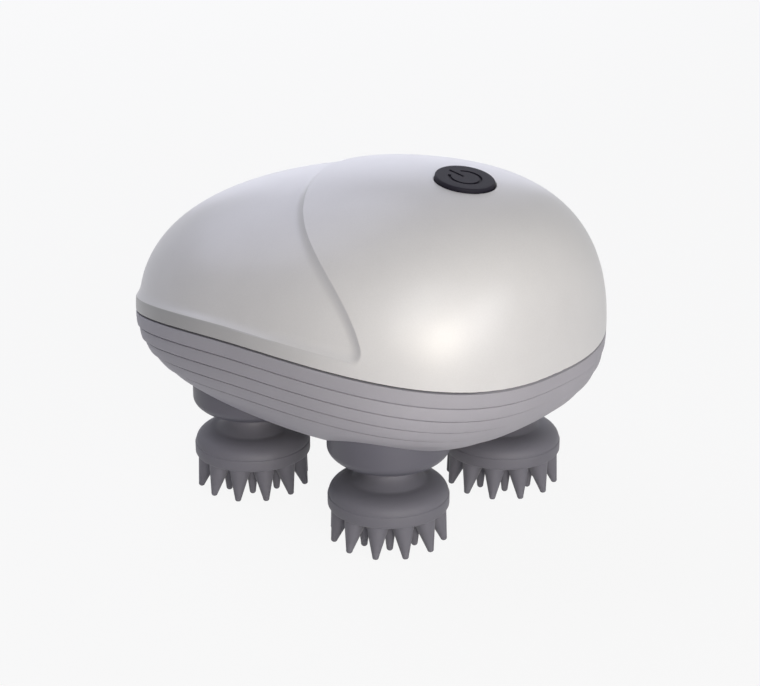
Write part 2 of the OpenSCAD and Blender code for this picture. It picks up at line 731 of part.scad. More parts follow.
module sun_gear() color("#D8D4C8") translate([mid.x, 0, 0]) difference() {
    translate([0, 0, gear_z]) union() {
        spur(sun_teeth, module_out, sun_face);
        translate([0, 0, -face_gap / 2]) cylinder(r = sun_axle_r + 2, h = 1);
    }
    rod(sun_axle_r + run_gap, 0, 60);
    for (k = [0:5]) rotate(k * 60 + 30) translate([module_out * sun_teeth / 4, 0, 0])
        rod(3.4, 0, 60);
}

module sun_axle() color("#B8BCC2") translate([mid.x, 0, 0])
    rod(sun_axle_r, base_z - 1.4, bracket_z + 1 - base_z + 1.4);

module idler_gear() color("#F0ECE0") translate([idler_at.x, 0, 0]) difference() {
    rotate(mesh_turn(0, 0, sun_teeth, idler_small_teeth)) union() {
        translate([0, 0, idler_small_z]) spur(idler_small_teeth, module_out, idler_small_face + eps);
        translate([0, 0, idler_large_z]) spur(idler_large_teeth, module_in, idler_large_face);
        rod(idler_axle_r + 1.2, base_z + base_t + face_gap / 2, idler_small_z - base_z - base_t);
    }
    rod(idler_axle_r + run_gap, 0, 60);
}

module idler_axle() color("#B8BCC2") translate([idler_at.x, 0, 0])
    rod(idler_axle_r, base_z, bracket_z + 1 - base_z);

module motor_pinion() color("#C8A45A") translate([motor_at.x, 0, 0]) difference() {
    rotate(mesh_turn(180, mesh_turn(0, 0, sun_teeth, idler_small_teeth),
        idler_large_teeth, motor_teeth))
        translate([0, 0, idler_large_z - 0.3]) spur(motor_teeth, module_in, idler_large_face + 0.6);
    rod(motor_shaft_r + seat_gap, 0, 60);
}

// ---------- gearbox ----------

module at_pillars(z) for (p = pillar_at) translate([p.x, p.y, z]) children();

module gearbox_base() color("#9A9AA2") difference() {
    union() {
        translate([0, 0, base_z]) linear_extrude(height = base_t) {
            for (i = [0:3]) at_head(i) circle(r = collar_r - 0.3);
            translate([rear_pillar_x - 4, -9])
                square([front_pillar_x - rear_pillar_x + 8, 18]);
            translate([mid.x - 9, -side_pillar_y - 2]) square([18, 2 * side_pillar_y + 4]);
            translate([mid.x - head_pitch_x / 2, -head_pitch_y / 2])
                square([head_pitch_x, head_pitch_y]);
        }
        translate([mid.x, 0, base_z - 1.4]) cylinder(r = sun_axle_r + 2.4, h = 1.5);
        at_pillars(base_z + base_t - eps)
            cylinder(r = pillar_r, h = cover_z - base_z - base_t + eps);
    }
    for (i = [0:3]) at_head(i) rod(boss_r + 0.4, 0, 60);
    at_pillars(0) cylinder(r = small_screw_r + screw_gap, h = 60);
    translate([mid.x, 0, 0]) cylinder(r = sun_axle_r + seat_gap, h = 60);
    translate([idler_at.x, 0, 0]) cylinder(r = idler_axle_r + seat_gap, h = 60);
}

module gearbox_cover() color("#A6A6AE") difference() {
    union() {
        translate([0, 0, cover_z]) linear_extrude(height = cover_t) {
            for (i = [0:3]) at_head(i) circle(r = bush_r + 4);
            translate([mid.x - head_pitch_x / 2, -head_pitch_y / 2 - 3])
                square([head_pitch_x, head_pitch_y + 6]);
            translate([mid.x - 9, -side_pillar_y - 4]) square([18, 2 * side_pillar_y + 8]);
            translate([rear_pillar_x - 3.4, -8]) square([14, 16]);
            translate([mid.x + 20, -stand_y - pillar_r - 0.6])
                square([stand_at[2].x - mid.x - 17, 2 * (stand_y + pillar_r + 0.6)]);
        }
        for (p = stand_at) translate([p.x, p.y, cover_z + cover_t - eps])
            cylinder(r = pillar_r, h = bracket_z - cover_z - cover_t + eps);
    }
    translate([mid.x, 0, 0]) cylinder(r = module_out * (sun_teeth / 2 + 0.9) + face_gap, h = 60);
    translate([idler_at.x, 0, 0])
        cylinder(r = module_out * (idler_small_teeth / 2 + 0.9) + face_gap, h = 60);
    for (i = [0:3]) at_head(i) rod(bush_r + seat_gap, 0, 60);
    at_pillars(0) cylinder(r = small_screw_r + screw_gap, h = 60);
    for (p = stand_at) translate([p.x, p.y, bracket_z - 4])
        cylinder(r = small_screw_r + screw_gap, h = 10);
}

module gearbox_screws() color("silver") at_pillars(cover_z + cover_t)
    screw(small_screw_r, cover_z + cover_t - base_z + gearbox_bite - 0.5, head_r2, 1);

module motor_bracket() color("#8E8E98") difference() {
    translate([stand_at[0].x - pillar_r, -stand_y - pillar_r, bracket_z])
        cube([stand_at[2].x - stand_at[0].x + 2 * pillar_r, 2 * (stand_y + pillar_r), bracket_t]);
    for (p = stand_at) translate([p.x, p.y, 0]) cylinder(r = small_screw_r + screw_gap, h = 80);
    for (p = board_post_at) translate([p.x, p.y, 0])
        cylinder(r = small_screw_r + screw_gap, h = 80);
    translate([mid.x, 0, 0]) cylinder(r = sun_axle_r + seat_gap, h = bracket_z + 1);
    translate([idler_at.x, 0, 0]) cylinder(r = idler_axle_r + seat_gap, h = bracket_z + 1);
    translate([motor_at.x, 0, 0]) cylinder(r = motor_shaft_r + 2.2, h = 80);
    for (s = [-1, 1]) translate([motor_at.x, s * motor_screw_y, 0])
        cylinder(r = small_screw_r + screw_gap, h = 80);
}

module bracket_screws() color("silver") for (p = stand_at)
    translate([p.x, p.y, bracket_z + bracket_t]) screw(small_screw_r, bracket_t + 3.5, head_r2, 1);

// ---------- motor ----------

module motor_can() color("#C9CCD0") translate([motor_at.x, 0, 0]) difference() {
    union() {
        rod(motor_r, motor_z, motor_l);
        rod(motor_shaft_r + 2, motor_z - bracket_t + 0.4, bracket_t);
    }
    rod(motor_shaft_r + run_gap, 0, 200);
    for (s = [-1, 1]) translate([0, s * motor_screw_y, 0])
        rod(small_screw_r + screw_gap, motor_z - 1, 3.6);
}

module motor_end_cap() color("#26262A") translate([motor_at.x, 0, motor_z + motor_l])
    difference() {
        union() {
            cylinder(r = motor_r - 1.2, h = 1.4);
            cylinder(r = motor_shaft_r + 2, h = 2.6);
            for (s = [-1, 1]) translate([-0.3, s * 7 - 1, 0]) cube([0.6, 2, 4]);
        }
        translate([0, 0, -1]) cylinder(r = motor_shaft_r + run_gap, h = 6);
    }

module motor_shaft() color("#B8BCC2") translate([motor_at.x, 0, 0])
    rod(motor_shaft_r, idler_large_z - 0.3, motor_z + motor_l + 2 - idler_large_z);

module motor_screws() color("silver") for (s = [-1, 1])
    translate([motor_at.x, s * motor_screw_y, bracket_z]) rotate([180, 0, 0])
        screw(small_screw_r, bracket_t + 2.4, head_r2, 1);

// ---------- power ----------

module cell() color("#3A6FB0") translate([cell_x, cell_l / 2, cell_z]) rotate([90, 0, 0]) {
    cylinder(r = cell_r, h = cell_l);
    translate([0, 0, cell_l - eps]) cylinder(r = 2.8, h = 1.2);
}

// Feet of the cell holder, which stand on the inside of the belly
foot_r = 2.4;
foot_at = [for (sx = [-1, 1], sy = [-1, 1]) [cell_x + 3 * sx, 12 * sy]];
function foot_z(p) =
    let (far = p * (1 + foot_r / norm(p)))
    max(under_z + wall, seam_at(far.x) - seam_gap / 2 - belly_fall(far.x, far.y, wall)) + 0.15;

module cell_holder() color("#34343A") difference() {
    union() {
        translate([cell_x - cell_r, -cell_l / 2 - 2.2, cell_z - cell_r - 1.2])
            cube([2 * cell_r - 1, cell_l + 4.4, cell_r - 1]);
        for (p = foot_at) translate([p.x, p.y, foot_z(p)])
            cylinder(r = foot_r, h = cell_z - cell_r - 1 - foot_z(p));
    }
    translate([cell_x, cell_l / 2 + 0.2, cell_z]) rotate([90, 0, 0])
        cylinder(r = cell_r + 0.1, h = cell_l + 1.6);
}

board_post_at = [for (sx = [-1, 1], sy = [-1, 1])
    board_at + [sx * (board_size.x / 2 - board_post_in), sy * (board_size.y / 2 - board_post_in)]];

module main_board() color("#2E7D4F") difference() {
    union() {
        translate([board_at.x - board_size.x / 2, -board_size.y / 2, board_z])
            cube([board_size.x, board_size.y, board_t]);
        for (p = board_post_at) translate([p.x, p.y, motor_z])
            cylinder(r = board_post_r, h = board_z - motor_z + eps);
    }
    for (p = board_post_at) translate([p.x, p.y, 0])
        cylinder(r = small_screw_r + screw_gap, h = 80);
}

module board_parts() color("#1E1E22") translate([board_at.x, 0, board_z + board_t]) {
    translate([-4, -4, 0]) cube([8, 8, 1.2]);
    translate([1, -11, 0]) cube([6, 5, 4]);
    translate([-6, 6, 0]) cube([7, 5, 4]);
    translate([-3, -10, 0]) cylinder(r = 2.5, h = 6);
}

module board_screws() color("silver") for (p = board_post_at)
    translate([p.x, p.y, board_z + board_t])
        screw(small_screw_r, board_t + board_z - bracket_z - 0.4, head_r2, 1);

module charging_seat() color("#2C2C32") translate([mid.x, 0, 0]) difference() {
    union() {
        rod(seat_r + 2, under_z, 5);
        rod(seat_r + 4.5, under_z + wall, 1.4);
    }
    rod(seat_r, under_z - 1, seat_depth + 1);
    for (s = [-1, 1]) {
        translate([s * contact_x, 0, 0]) rod(contact_r + seat_gap, 0, 40);
        translate([0, s * 3.6, 0]) rod(1.6, under_z + seat_depth + 0.8, 10);
    }
}

module charging_contacts() color("#D4AF37") for (s = [-1, 1])
    translate([mid.x + s * contact_x, 0, 0]) rod(contact_r, under_z + seat_depth, 4);

module charging_magnets() color("#9EA2A8") for (s = [-1, 1])
    translate([mid.x, s * 3.6, 0]) rod(1.55, under_z + seat_depth + 0.8, 1.6);

module casing_screws() color("silver") for (p = casing_screw_at)
    translate([p.x, p.y, casing_screw_z(p)]) rotate([180, 0, 0])
        screw(body_screw_r, casing_screw_l - 0.5, casing_head_r, 1.6);

top_shell();
bottom_shell();
seam_gasket();
power_button();
switch_plunger();
tact_switch();
button_board();
button_board_screws();
massage_head_front_right();
massage_head_front_left();
massage_head_rear_right();
massage_head_rear_left();
collar_front_right();
collar_front_left();
collar_rear_right();
collar_rear_left();
shaft_front_right();
shaft_front_left();
shaft_rear_right();
shaft_rear_left();
gear_front_right();
gear_front_left();
gear_rear_right();
gear_rear_left();
shaft_seals();
lower_bushes();
upper_bushes();
gearbox_base();
gearbox_cover();
gearbox_screws();
sun_gear();
sun_axle();
idler_gear();
idler_axle();
motor_bracket();
bracket_screws();
motor_can();
motor_end_cap();
motor_shaft();
motor_pinion();
motor_screws();
cell();
cell_holder();
main_board();
board_parts();
board_screws();
charging_seat();
charging_contacts();
charging_magnets();
casing_screws();
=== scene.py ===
"""Looks of a handheld scalp massager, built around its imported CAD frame.

The shells, the heads, their collars, the button and the seam gasket are modelled again here in
finer detail than the CAD holds. Everything inside keeps its CAD shape and gets a finish of its own.
Lengths are in millimetres until a piece is finished, and in metres after that.
"""

import json
import logging
import math
from collections.abc import Sequence
from dataclasses import dataclass, field, replace
from enum import Enum

import bmesh
import bpy
from mathutils import Matrix, Vector
from mathutils.kdtree import KDTree


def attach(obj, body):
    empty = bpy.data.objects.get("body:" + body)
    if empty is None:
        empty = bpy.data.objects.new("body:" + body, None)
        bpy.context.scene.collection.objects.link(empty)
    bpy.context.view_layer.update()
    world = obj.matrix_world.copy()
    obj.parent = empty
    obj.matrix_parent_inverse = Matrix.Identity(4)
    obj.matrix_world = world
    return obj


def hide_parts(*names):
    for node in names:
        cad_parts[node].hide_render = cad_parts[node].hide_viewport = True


Tree = bpy.types.NodeTree
Socket = bpy.types.NodeSocket
Piece = bpy.types.Object
Shape = bmesh.types.BMesh
Ring = tuple[float, float, float]

LOG = logging.getLogger("scalp_massager")
MM = 0.001
IMAGE_WIDTH = 760
WHITE = (1.0, 1.0, 1.0, 1.0)
NOISE_LOW = 0.3
NOISE_HIGH = 0.7
CLOUD_MM = 14

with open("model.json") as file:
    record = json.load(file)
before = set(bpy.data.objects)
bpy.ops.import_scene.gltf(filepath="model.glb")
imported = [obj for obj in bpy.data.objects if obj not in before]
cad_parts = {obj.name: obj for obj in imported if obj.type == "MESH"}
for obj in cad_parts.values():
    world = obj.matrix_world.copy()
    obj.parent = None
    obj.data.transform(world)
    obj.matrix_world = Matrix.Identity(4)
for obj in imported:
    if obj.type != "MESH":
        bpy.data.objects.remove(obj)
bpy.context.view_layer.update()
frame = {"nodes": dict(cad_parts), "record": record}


# -------------------- finishes


def linear(colour: str) -> tuple[float, float, float, float]:
    """Turns an sRGB hex colour into the linear colour that shaders use.

    Args:
        colour: Six hex digits after a hash sign.

    Returns:
        Linear red, green and blue, and an alpha of one.
    """
    values = [int(colour[i:i + 2], 16) / 255 for i in (1, 3, 5)]
    red, green, blue = (v / 12.92 if v <= 0.04045 else ((v + 0.055) / 1.055) ** 2.4 for v in values)
    return red, green, blue, 1.0


def add_node(
    tree: Tree, kind: str, sockets: dict[str | int, object] | None = None, **settings: object
) -> bpy.types.Node:
    """Adds a node to a tree with its settings, values and links.

    Args:
        tree: The node tree that gets the node.
        kind: The node's type name.
        sockets: For each input, by name or number, either a value or the socket that feeds it.
        **settings: Properties of the node itself.

    Returns:
        The new node.
    """
    node = tree.nodes.new(kind)
    for name, value in settings.items():
        setattr(node, name, value)
    for key, value in (sockets or {}).items():
        if isinstance(value, Socket):
            tree.links.new(value, node.inputs[key])
        else:
            node.inputs[key].default_value = value
    return node


def add_math(tree: Tree, operation: str, *terms: float | Socket) -> Socket:
    """Adds a calculation on values or sockets, and gives the socket with its result."""
    node = add_node(tree, "ShaderNodeMath", dict(enumerate(terms)), operation=operation)
    return node.outputs[0]


def add_range(
    tree: Tree, value: Socket, start: float, end: float, low: float = 0.0, high: float = 1.0
) -> Socket:
    """Adds a ramp from low at the start to high at the end, and gives its result's socket."""
    sockets = {"Value": value, "From Min": start, "From Max": end, "To Min": low, "To Max": high}
    return add_node(tree, "ShaderNodeMapRange", sockets).outputs[0]


def empty_tree(owner: bpy.types.Material | bpy.types.World) -> Tree:
    """Empties the node tree of a material or a world.

    Args:
        owner: The material or the world.

    Returns:
        Its tree.
    """
    owner.use_nodes = True
    owner.node_tree.nodes.clear()
    return owner.node_tree


def in_scene(name: str, data: bpy.types.ID) -> Piece:
    """Puts a mesh, a lamp or a camera into the scene.

    Args:
        name: The object's name.
        data: What the object shows.

    Returns:
        The object, at the origin.
    """
    item = bpy.data.objects.new(name, data)
    bpy.context.scene.collection.objects.link(item)
    return item


@dataclass(frozen=True)
class Finish:
    """A moulded or machined surface: its colour, its gloss and the texture its making leaves.

    Attributes:
        name: What the real material is and how its surface was made.
        colour: Its colour in sRGB hex.
        roughness: How matt it is, from 0 to 1.
        metallic: 1 for a metal, 0 for anything else.
        ior: Index of refraction of a surface that isn't metal.
        grain_mm: Size of one grain of the texture.
        grain_depth_mm: Height of the texture.
        shade_spread: How far the colour wanders, as a share of its brightness.
        gloss_spread: How far the roughness wanders.
        coat: Weight of a clear coat.
        coat_roughness: Roughness of that coat.
        sheen: Weight of a dusty sheen, as on soft rubber.
        specular: How strongly it mirrors, where 0.5 is what its index of refraction gives.
    """

    name: str
    colour: str
    roughness: float
    metallic: float = 0.0
    ior: float = 1.5
    grain_mm: float = 0.4
    grain_depth_mm: float = 0.01
    shade_spread: float = 0.06
    gloss_spread: float = 0.06
    coat: float = 0.0
    coat_roughness: float = 0.2
    sheen: float = 0.0
    specular: float = 0.5

    def scale(self) -> float:
        """Number of grains in a metre."""
        return 1 / (self.grain_mm * MM)

    def grain(self, tree: Tree, place: Socket) -> Socket:
        """Draws the fine texture at a place, as a height from 0 to 1."""
        values = {"Vector": place, "Scale": self.scale(), "Detail": 3.0, "Roughness": 0.6}
        return add_node(tree, "ShaderNodeTexNoise", values).outputs["Fac"]

    def tone(self, tree: Tree, place: Socket, shade: Socket) -> Socket:
        """Gives the brightness of the colour, which a finish with a band of painted shade changes
        by place.
        """
        return shade

    def material(self) -> bpy.types.Material:
        """Makes the material, or gives it back if it was made before.

        Returns:
            The material with this finish's name.
        """
        old = bpy.data.materials.get(self.name)
        if old:
            return old
        made = bpy.data.materials.new(self.name)
        tree = empty_tree(made)
        place = add_node(tree, "ShaderNodeTexCoord").outputs["Object"]
        height = self.grain(tree, place)
        clouds = add_node(
            tree, "ShaderNodeTexNoise",
            {"Vector": place, "Scale": 1 / (CLOUD_MM * MM), "Detail": 2.0}).outputs["Fac"]
        shade = add_range(tree, clouds, NOISE_LOW, NOISE_HIGH, 1 - self.shade_spread)
        speckle = add_range(tree, height, NOISE_LOW, NOISE_HIGH, 1 - self.shade_spread / 2)
        # the tone multiplies in painted shade where a finish has a band of it
        both = self.tone(tree, place, add_math(tree, "MULTIPLY", shade, speckle))
        colour = add_node(
            tree, "ShaderNodeMix", {"Factor": 1.0, 6: linear(self.colour), 7: both},
            data_type="RGBA", blend_type="MULTIPLY")
        gloss = add_range(
            tree, height, NOISE_LOW, NOISE_HIGH,
            self.roughness - self.gloss_spread / 2, self.roughness + self.gloss_spread / 2)
        bump = add_node(
            tree, "ShaderNodeBump",
            {"Height": height, "Strength": 1.0, "Distance": self.grain_depth_mm * MM})
        shader = add_node(
            tree, "ShaderNodeBsdfPrincipled",
            {"Base Color": colour.outputs[2], "Roughness": gloss,
             "Metallic": self.metallic, "IOR": self.ior, "Normal": bump.outputs[0],
             "Specular IOR Level": self.specular,
             "Coat Weight": self.coat, "Coat Roughness": self.coat_roughness,
             "Sheen Weight": self.sheen, "Sheen Roughness": 0.5})
        add_node(tree, "ShaderNodeOutputMaterial", {"Surface": shader.outputs[0]})
        return made


@dataclass(frozen=True)
class FlakeFinish(Finish):
    """A sprayed lacquer with mica flakes. The flakes are drawn larger than real ones, to show."""

    def grain(self, tree: Tree, place: Socket) -> Socket:
        """Draws flakes at a place, each flat and of its own height from 0 to 1."""
        flakes = add_node(tree, "ShaderNodeTexVoronoi", {"Vector": place, "Scale": self.scale()})
        return add_node(
            tree, "ShaderNodeSeparateColor", {"Color": flakes.outputs["Color"]}).outputs["Red"]


@dataclass(frozen=True)
class PearlPaintedShadeFinish(FlakeFinish):
    """The flake lacquer of the upper shell, with painted shade that darkens the ledge between
    recess and seam.

    Attributes:
        ledge_shade: Brightness of the painted shade on the ledge at the narrow end.
        dark_to: Place along X in mm up to which the painted shade is that dark.
        plain_from: Place along X in mm from where it is as bright as the rest.
        border_below: How far in mm the soft border reaches down from the ledge's top.
        border_above: How far in mm it reaches up.
    """

    ledge_shade: float = 0.46
    dark_to: float = -25.0
    plain_from: float = 40.0
    border_below: float = 0.1
    border_above: float = 0.2

    def tone(self, tree: Tree, place: Socket, shade: Socket) -> Socket:
        """Paints shade on the ledge, whose upper border runs along with the curved seam.

        Args:
            tree: The material's node tree.
            place: The socket with the point on the surface.
            shade: The socket with the brightness that the texture gives.

        Returns:
            The socket that holds the brightness.
        """
        egg = Egg()
        border = (egg.seam(0) + egg.seam_gap / 2 + Recess().ledge) * MM
        split = add_node(tree, "ShaderNodeSeparateXYZ", {"Vector": place})
        along = split.outputs["X"]
        bow = -1 / (2 * egg.seam_arch_radius * MM)
        bend = add_math(
            tree, "MULTIPLY", along, add_math(tree, "MULTIPLY_ADD", along, bow, egg.seam_slope))
        height = add_math(tree, "SUBTRACT", split.outputs["Z"], bend)
        above = add_range(
            tree, height, border - self.border_below * MM, border + self.border_above * MM)
        # painted shade: darkest on the ledge at the narrow end, fading out towards the wide end
        fade = add_range(
            tree, along, self.dark_to * MM, self.plain_from * MM, self.ledge_shade)
        return add_math(tree, "MULTIPLY", shade, add_math(tree, "MAXIMUM", above, fade))


@dataclass(frozen=True)
class TurnedFinish(Finish):
    """A turned or rolled metal surface, with fine lines across its axis.

    Attributes:
        squeeze: Scale of the texture along X, Y and Z, which draws the grains out into lines.
    """

    metallic: float = 1.0
    squeeze: tuple[float, float, float] = (0.04, 0.04, 1.0)

    def grain(self, tree: Tree, place: Socket) -> Socket:
        """Draws fine lines one above another, as a height from 0 to 1."""
        squeezed = add_node(tree, "ShaderNodeMapping", {"Vector": place, "Scale": self.squeeze})
        return add_node(
            tree, "ShaderNodeTexNoise",
            {"Vector": squeezed.outputs[0], "Scale": self.scale(), "Detail": 4.0}).outputs["Fac"]


class Surface(Enum):
    """The finish of each material slot in the record."""

    # Spray-lacquered ABS: mica gives it a soft silvery gloss; painted shade darkens its ledge
    pearl_shell = PearlPaintedShadeFinish(
        "pearl_lacquered_abs_painted_ledge_shade", "#DDDCDE", 0.38, metallic=0.05, grain_mm=0.22,
        grain_depth_mm=0.0004, shade_spread=0.035, gloss_spread=0.05, coat=0.2, coat_roughness=0.3)
    # Moulded ABS from a spark-eroded mould: an even, dull grain
    grey_shell = Finish(
        "spark_grained_abs", "#ABA9B2", 0.55, grain_mm=0.35, grain_depth_mm=0.012,
        shade_spread=0.05, gloss_spread=0.08)
    # Extruded nitrile rubber: dark grey and dull
    gasket_rubber = Finish(
        "extruded_nitrile_rubber", "#434248", 0.7, grain_mm=0.3, grain_depth_mm=0.01, sheen=0.1)
    # Moulded silicone rubber with a soft-touch top: dark, with a low gloss
    button_rubber = Finish(
        "soft_touch_silicone_rubber", "#201E28", 0.6, ior=1.43, grain_mm=0.25,
        grain_depth_mm=0.006, specular=0.2)
    # Cast silicone: matt, a little dusty, with faint cloudiness
    head_silicone = Finish(
        "cast_silicone_rubber", "#73727C", 0.56, ior=1.43, grain_mm=0.5, grain_depth_mm=0.01,
        shade_spread=0.08, sheen=0.1)
    # Moulded ABS, satin: the same grey as the heads, a little smoother
    collar_plastic = Finish(
        "satin_moulded_abs", "#5E5D68", 0.46, grain_mm=0.35, grain_depth_mm=0.006)
    # Turned stainless steel: bright, with fine rings
    steel = TurnedFinish(
        "turned_stainless_steel", "#C2C4C8", 0.28, grain_mm=0.15, grain_depth_mm=0.002)
    # Moulded acetal: ivory and waxy
    gear_plastic = Finish(
        "moulded_acetal", "#E6E0D0", 0.38, ior=1.48, grain_mm=0.6, grain_depth_mm=0.004)
    # Sintered bronze: porous and brownish
    bronze = Finish(
        "sintered_bronze", "#A8814C", 0.42, metallic=1.0, grain_mm=0.12, grain_depth_mm=0.01,
        shade_spread=0.2)
    # Nylon filled with glass fibre: grey, with streaks of fibre
    frame_plastic = Finish(
        "glass_filled_nylon", "#8D8D95", 0.52, ior=1.53, grain_mm=0.3, grain_depth_mm=0.015,
        shade_spread=0.12)
    # Zinc-plated deep-drawn steel: cool and slightly streaked
    can_steel = TurnedFinish(
        "zinc_plated_steel", "#BFC3C9", 0.34, grain_mm=0.25, grain_depth_mm=0.002)
    # Moulded black ABS: plain and satin
    black_plastic = Finish("moulded_black_abs", "#232327", 0.45, grain_mm=0.4)
    # Epoxy board under green solder mask: glossy over a fine weave
    board_green = Finish(
        "solder_masked_epoxy", "#1F6B40", 0.3, grain_mm=0.5, grain_depth_mm=0.008, coat=0.4)
    # Heat-shrunk PVC film: smooth and blue
    cell_wrap = Finish("heat_shrunk_film", "#2F66A8", 0.22, grain_mm=1.2, grain_depth_mm=0.01)
    # Gold-plated brass: smooth and warm
    gold = TurnedFinish(
        "gold_plated_brass", "#E0B24A", 0.2, grain_mm=0.1, grain_depth_mm=0.001)
    # Nickel-plated magnet: smooth and bright
    nickel = TurnedFinish(
        "nickel_plated_magnet", "#BDBCB8", 0.18, grain_mm=0.2, grain_depth_mm=0.001)


# -------------------- mesh tools

SHARP_ANGLE = 35.0


def finished(
    name: str, shape: Shape, surface: Surface, sharp_angle: float = SHARP_ANGLE
) -> Piece:
    """Turns a shape in millimetres into an object in metres with its finish.

    Args:
        name: The object's name.
        shape: The shape, which is freed.
        surface: Its finish.
        sharp_angle: Edges that turn by more than this many degrees are drawn sharp.

    Returns:
        The object, at the origin.
    """
    bmesh.ops.scale(shape, vec=(MM, MM, MM), verts=shape.verts)
    for face in shape.faces:
        face.smooth = True
    mesh = bpy.data.meshes.new(name)
    shape.to_mesh(mesh)
    shape.free()
    mesh.set_sharp_from_angle(angle=math.radians(sharp_angle))
    mesh.materials.append(surface.value.material())
    return in_scene(name, mesh)


def cut(piece: Piece, tool: Shape) -> None:
    """Cuts a closed shape out of a piece.

    Args:
        piece: The object that is cut.
        tool: The closed shape in millimetres, which is freed.
    """
    cutter = finished(piece.name + "_cutter", tool, Surface.black_plastic)
    cutter.data.materials[0] = piece.data.materials[0]
    modifier = piece.modifiers.new("cut", "BOOLEAN")
    modifier.operation = "DIFFERENCE"
    modifier.solver = "EXACT"
    modifier.object = cutter
    graph = bpy.context.evaluated_depsgraph_get()
    mesh = bpy.data.meshes.new_from_object(piece.evaluated_get(graph))
    piece.modifiers.clear()
    piece.data = mesh
    mesh.set_sharp_from_angle(angle=math.radians(SHARP_ANGLE))
    bpy.data.objects.remove(cutter)


def spun(profile: Sequence[tuple[float, float]], steps: int = 96) -> Shape:
    """Spins a profile round the Z axis into a closed shape.

    Args:
        profile: Points (radius, height) from the lower end of the axis to the upper one.
        steps: Number of steps in the turn.

    Returns:
        The shape.
    """
    shape = bmesh.new()
    points = [shape.verts.new((radius, 0, height)) for radius, height in profile]
    edges = [shape.edges.new(pair) for pair in zip(points, points[1:])]
    bmesh.ops.spin(
        shape, geom=points + edges, cent=(0, 0, 0), axis=(0, 0, 1), dvec=(0, 0, 0),
        angle=math.tau, steps=steps, use_merge=True)
    bmesh.ops.remove_doubles(shape, verts=shape.verts, dist=1e-5)
    bmesh.ops.recalc_face_normals(shape, faces=shape.faces)
    return shape


def add_copy(target: Shape, part: Shape, place: Matrix) -> None:
    """Adds a placed copy of a shape to another shape.

    Args:
        target: The shape that grows.
        part: The shape that is copied.
        place: Where the copy goes.
    """
    mesh = bpy.data.meshes.new("copy")
    part.to_mesh(mesh)
    mesh.transform(place)
    target.from_mesh(mesh)
    bpy.data.meshes.remove(mesh)


def arc(
    centre: tuple[float, float], radius: float, start: float, end: float, steps: int
) -> list[tuple[float, float]]:
    """Points of an arc in a profile.

    Args:
        centre: The arc's centre.
        radius: Its radius.
        start: Angle of the first point, in degrees from the first axis.
        end: Angle of the last point.
        steps: Number of steps between them.

    Returns:
        The points, both ends included.
    """
    angles = [math.radians(start + (end - start) * i / steps) for i in range(steps + 1)]
    return [
        (centre[0] + radius * math.cos(a), centre[1] + radius * math.sin(a)) for a in angles]


def ball_row(vert: bmesh.types.BMVert, rows: int) -> int:
    """Row of a ball's point: 0 at the equator and rows at the poles."""
    return rows - round(math.acos(min(abs(vert.co.z), 1.0)) / math.radians(90) * rows)


# -------------------- the body


@dataclass(frozen=True)
class Egg:
    """The egg that both shells follow. Its wide end points along +X."""

    half_length: float = 66.0
    half_width: float = 50.5
    taper: float = 0.031
    dome_height: float = 34.8
    dome_lean: float = 0.2
    belly_depth: float = 32.0
    belly_lean: float = 0.17
    under_z: float = 24.0
    seam_z: float = 52.4
    seam_slope: float = 0.058
    seam_arch_radius: float = 227.0
    seam_gap: float = 0.6
    wall: float = 2.2
    narrow_power: float = 2.19
    wide_power: float = 2.45
    dome_power: float = 2.135
    dome_end_power: float = 3.49
    belly_power: float = 2.45
    belly_end_power: float = 1.95

    @staticmethod
    def ease(share: float, power: float) -> float:
        """How wide a superellipse still is at a share of its length."""
        return max(1 - abs(share) ** power, 0.0) ** (1 / power)

    def plan_power(self, share: float) -> float:
        """Squareness of the plan at a share of the half length."""
        return self.narrow_power if share < 0 else self.wide_power

    def seam(self, x: float) -> float:
        """Height of the seam's middle at x."""
        return self.seam_z + self.seam_slope * x - x * x / (2 * self.seam_arch_radius)

    def outline(self, angle: float) -> Vector:
        """Finds a point of the plan outline.

        Args:
            angle: Its angle in degrees, before the plan is stretched to its length and width.

        Returns:
            The point.
        """
        cosine = math.cos(math.radians(angle))
        sine = math.sin(math.radians(angle))
        power = self.plan_power(cosine)
        radius = (abs(cosine) ** power + abs(sine) ** power) ** (-1 / power)
        share = radius * cosine
        return Vector((
            self.half_length * share,
            self.half_width * radius * sine * (1 + self.taper * share)))

    def rise(
        self, x: float, y: float, height: float, lean: float, end_power: float, power: float
    ) -> float:
        """Distance of a surface from the seam over a point of the plan.

        Args:
            x: The point's place along the body.
            y: Its place across the body.
            height: The surface's distance from the seam at mid-length.
            lean: How much fuller it is towards the wide end.
            end_power: Squareness of its long section.
            power: Squareness of its cross-section.

        Returns:
            The distance, never negative.
        """
        share = x / self.half_length
        top = height * self.ease(share, end_power) * (1 + lean * share)
        width = self.half_width * (1 + self.taper * share)
        width *= self.ease(share, self.plan_power(share))
        return top * self.ease(y / max(width, 0.01), power)

    def dome_rise(self, x: float, y: float) -> float:
        """Height of the dome above the seam."""
        return self.rise(
            x, y, self.dome_height, self.dome_lean, self.dome_end_power, self.dome_power)

    def belly_fall(self, x: float, y: float) -> float:
        """Depth of the belly below the seam."""
        return self.rise(
            x, y, self.belly_depth, self.belly_lean, self.belly_end_power, self.belly_power)

    def inside(self) -> "Egg":
        """The egg that the inner faces of both shells follow, one wall further in."""
        return replace(
            self,
            half_length=self.half_length - self.wall,
            half_width=self.half_width - self.wall,
            dome_height=self.dome_height - self.wall,
            belly_depth=self.belly_depth - self.wall,
            under_z=self.under_z + self.wall)


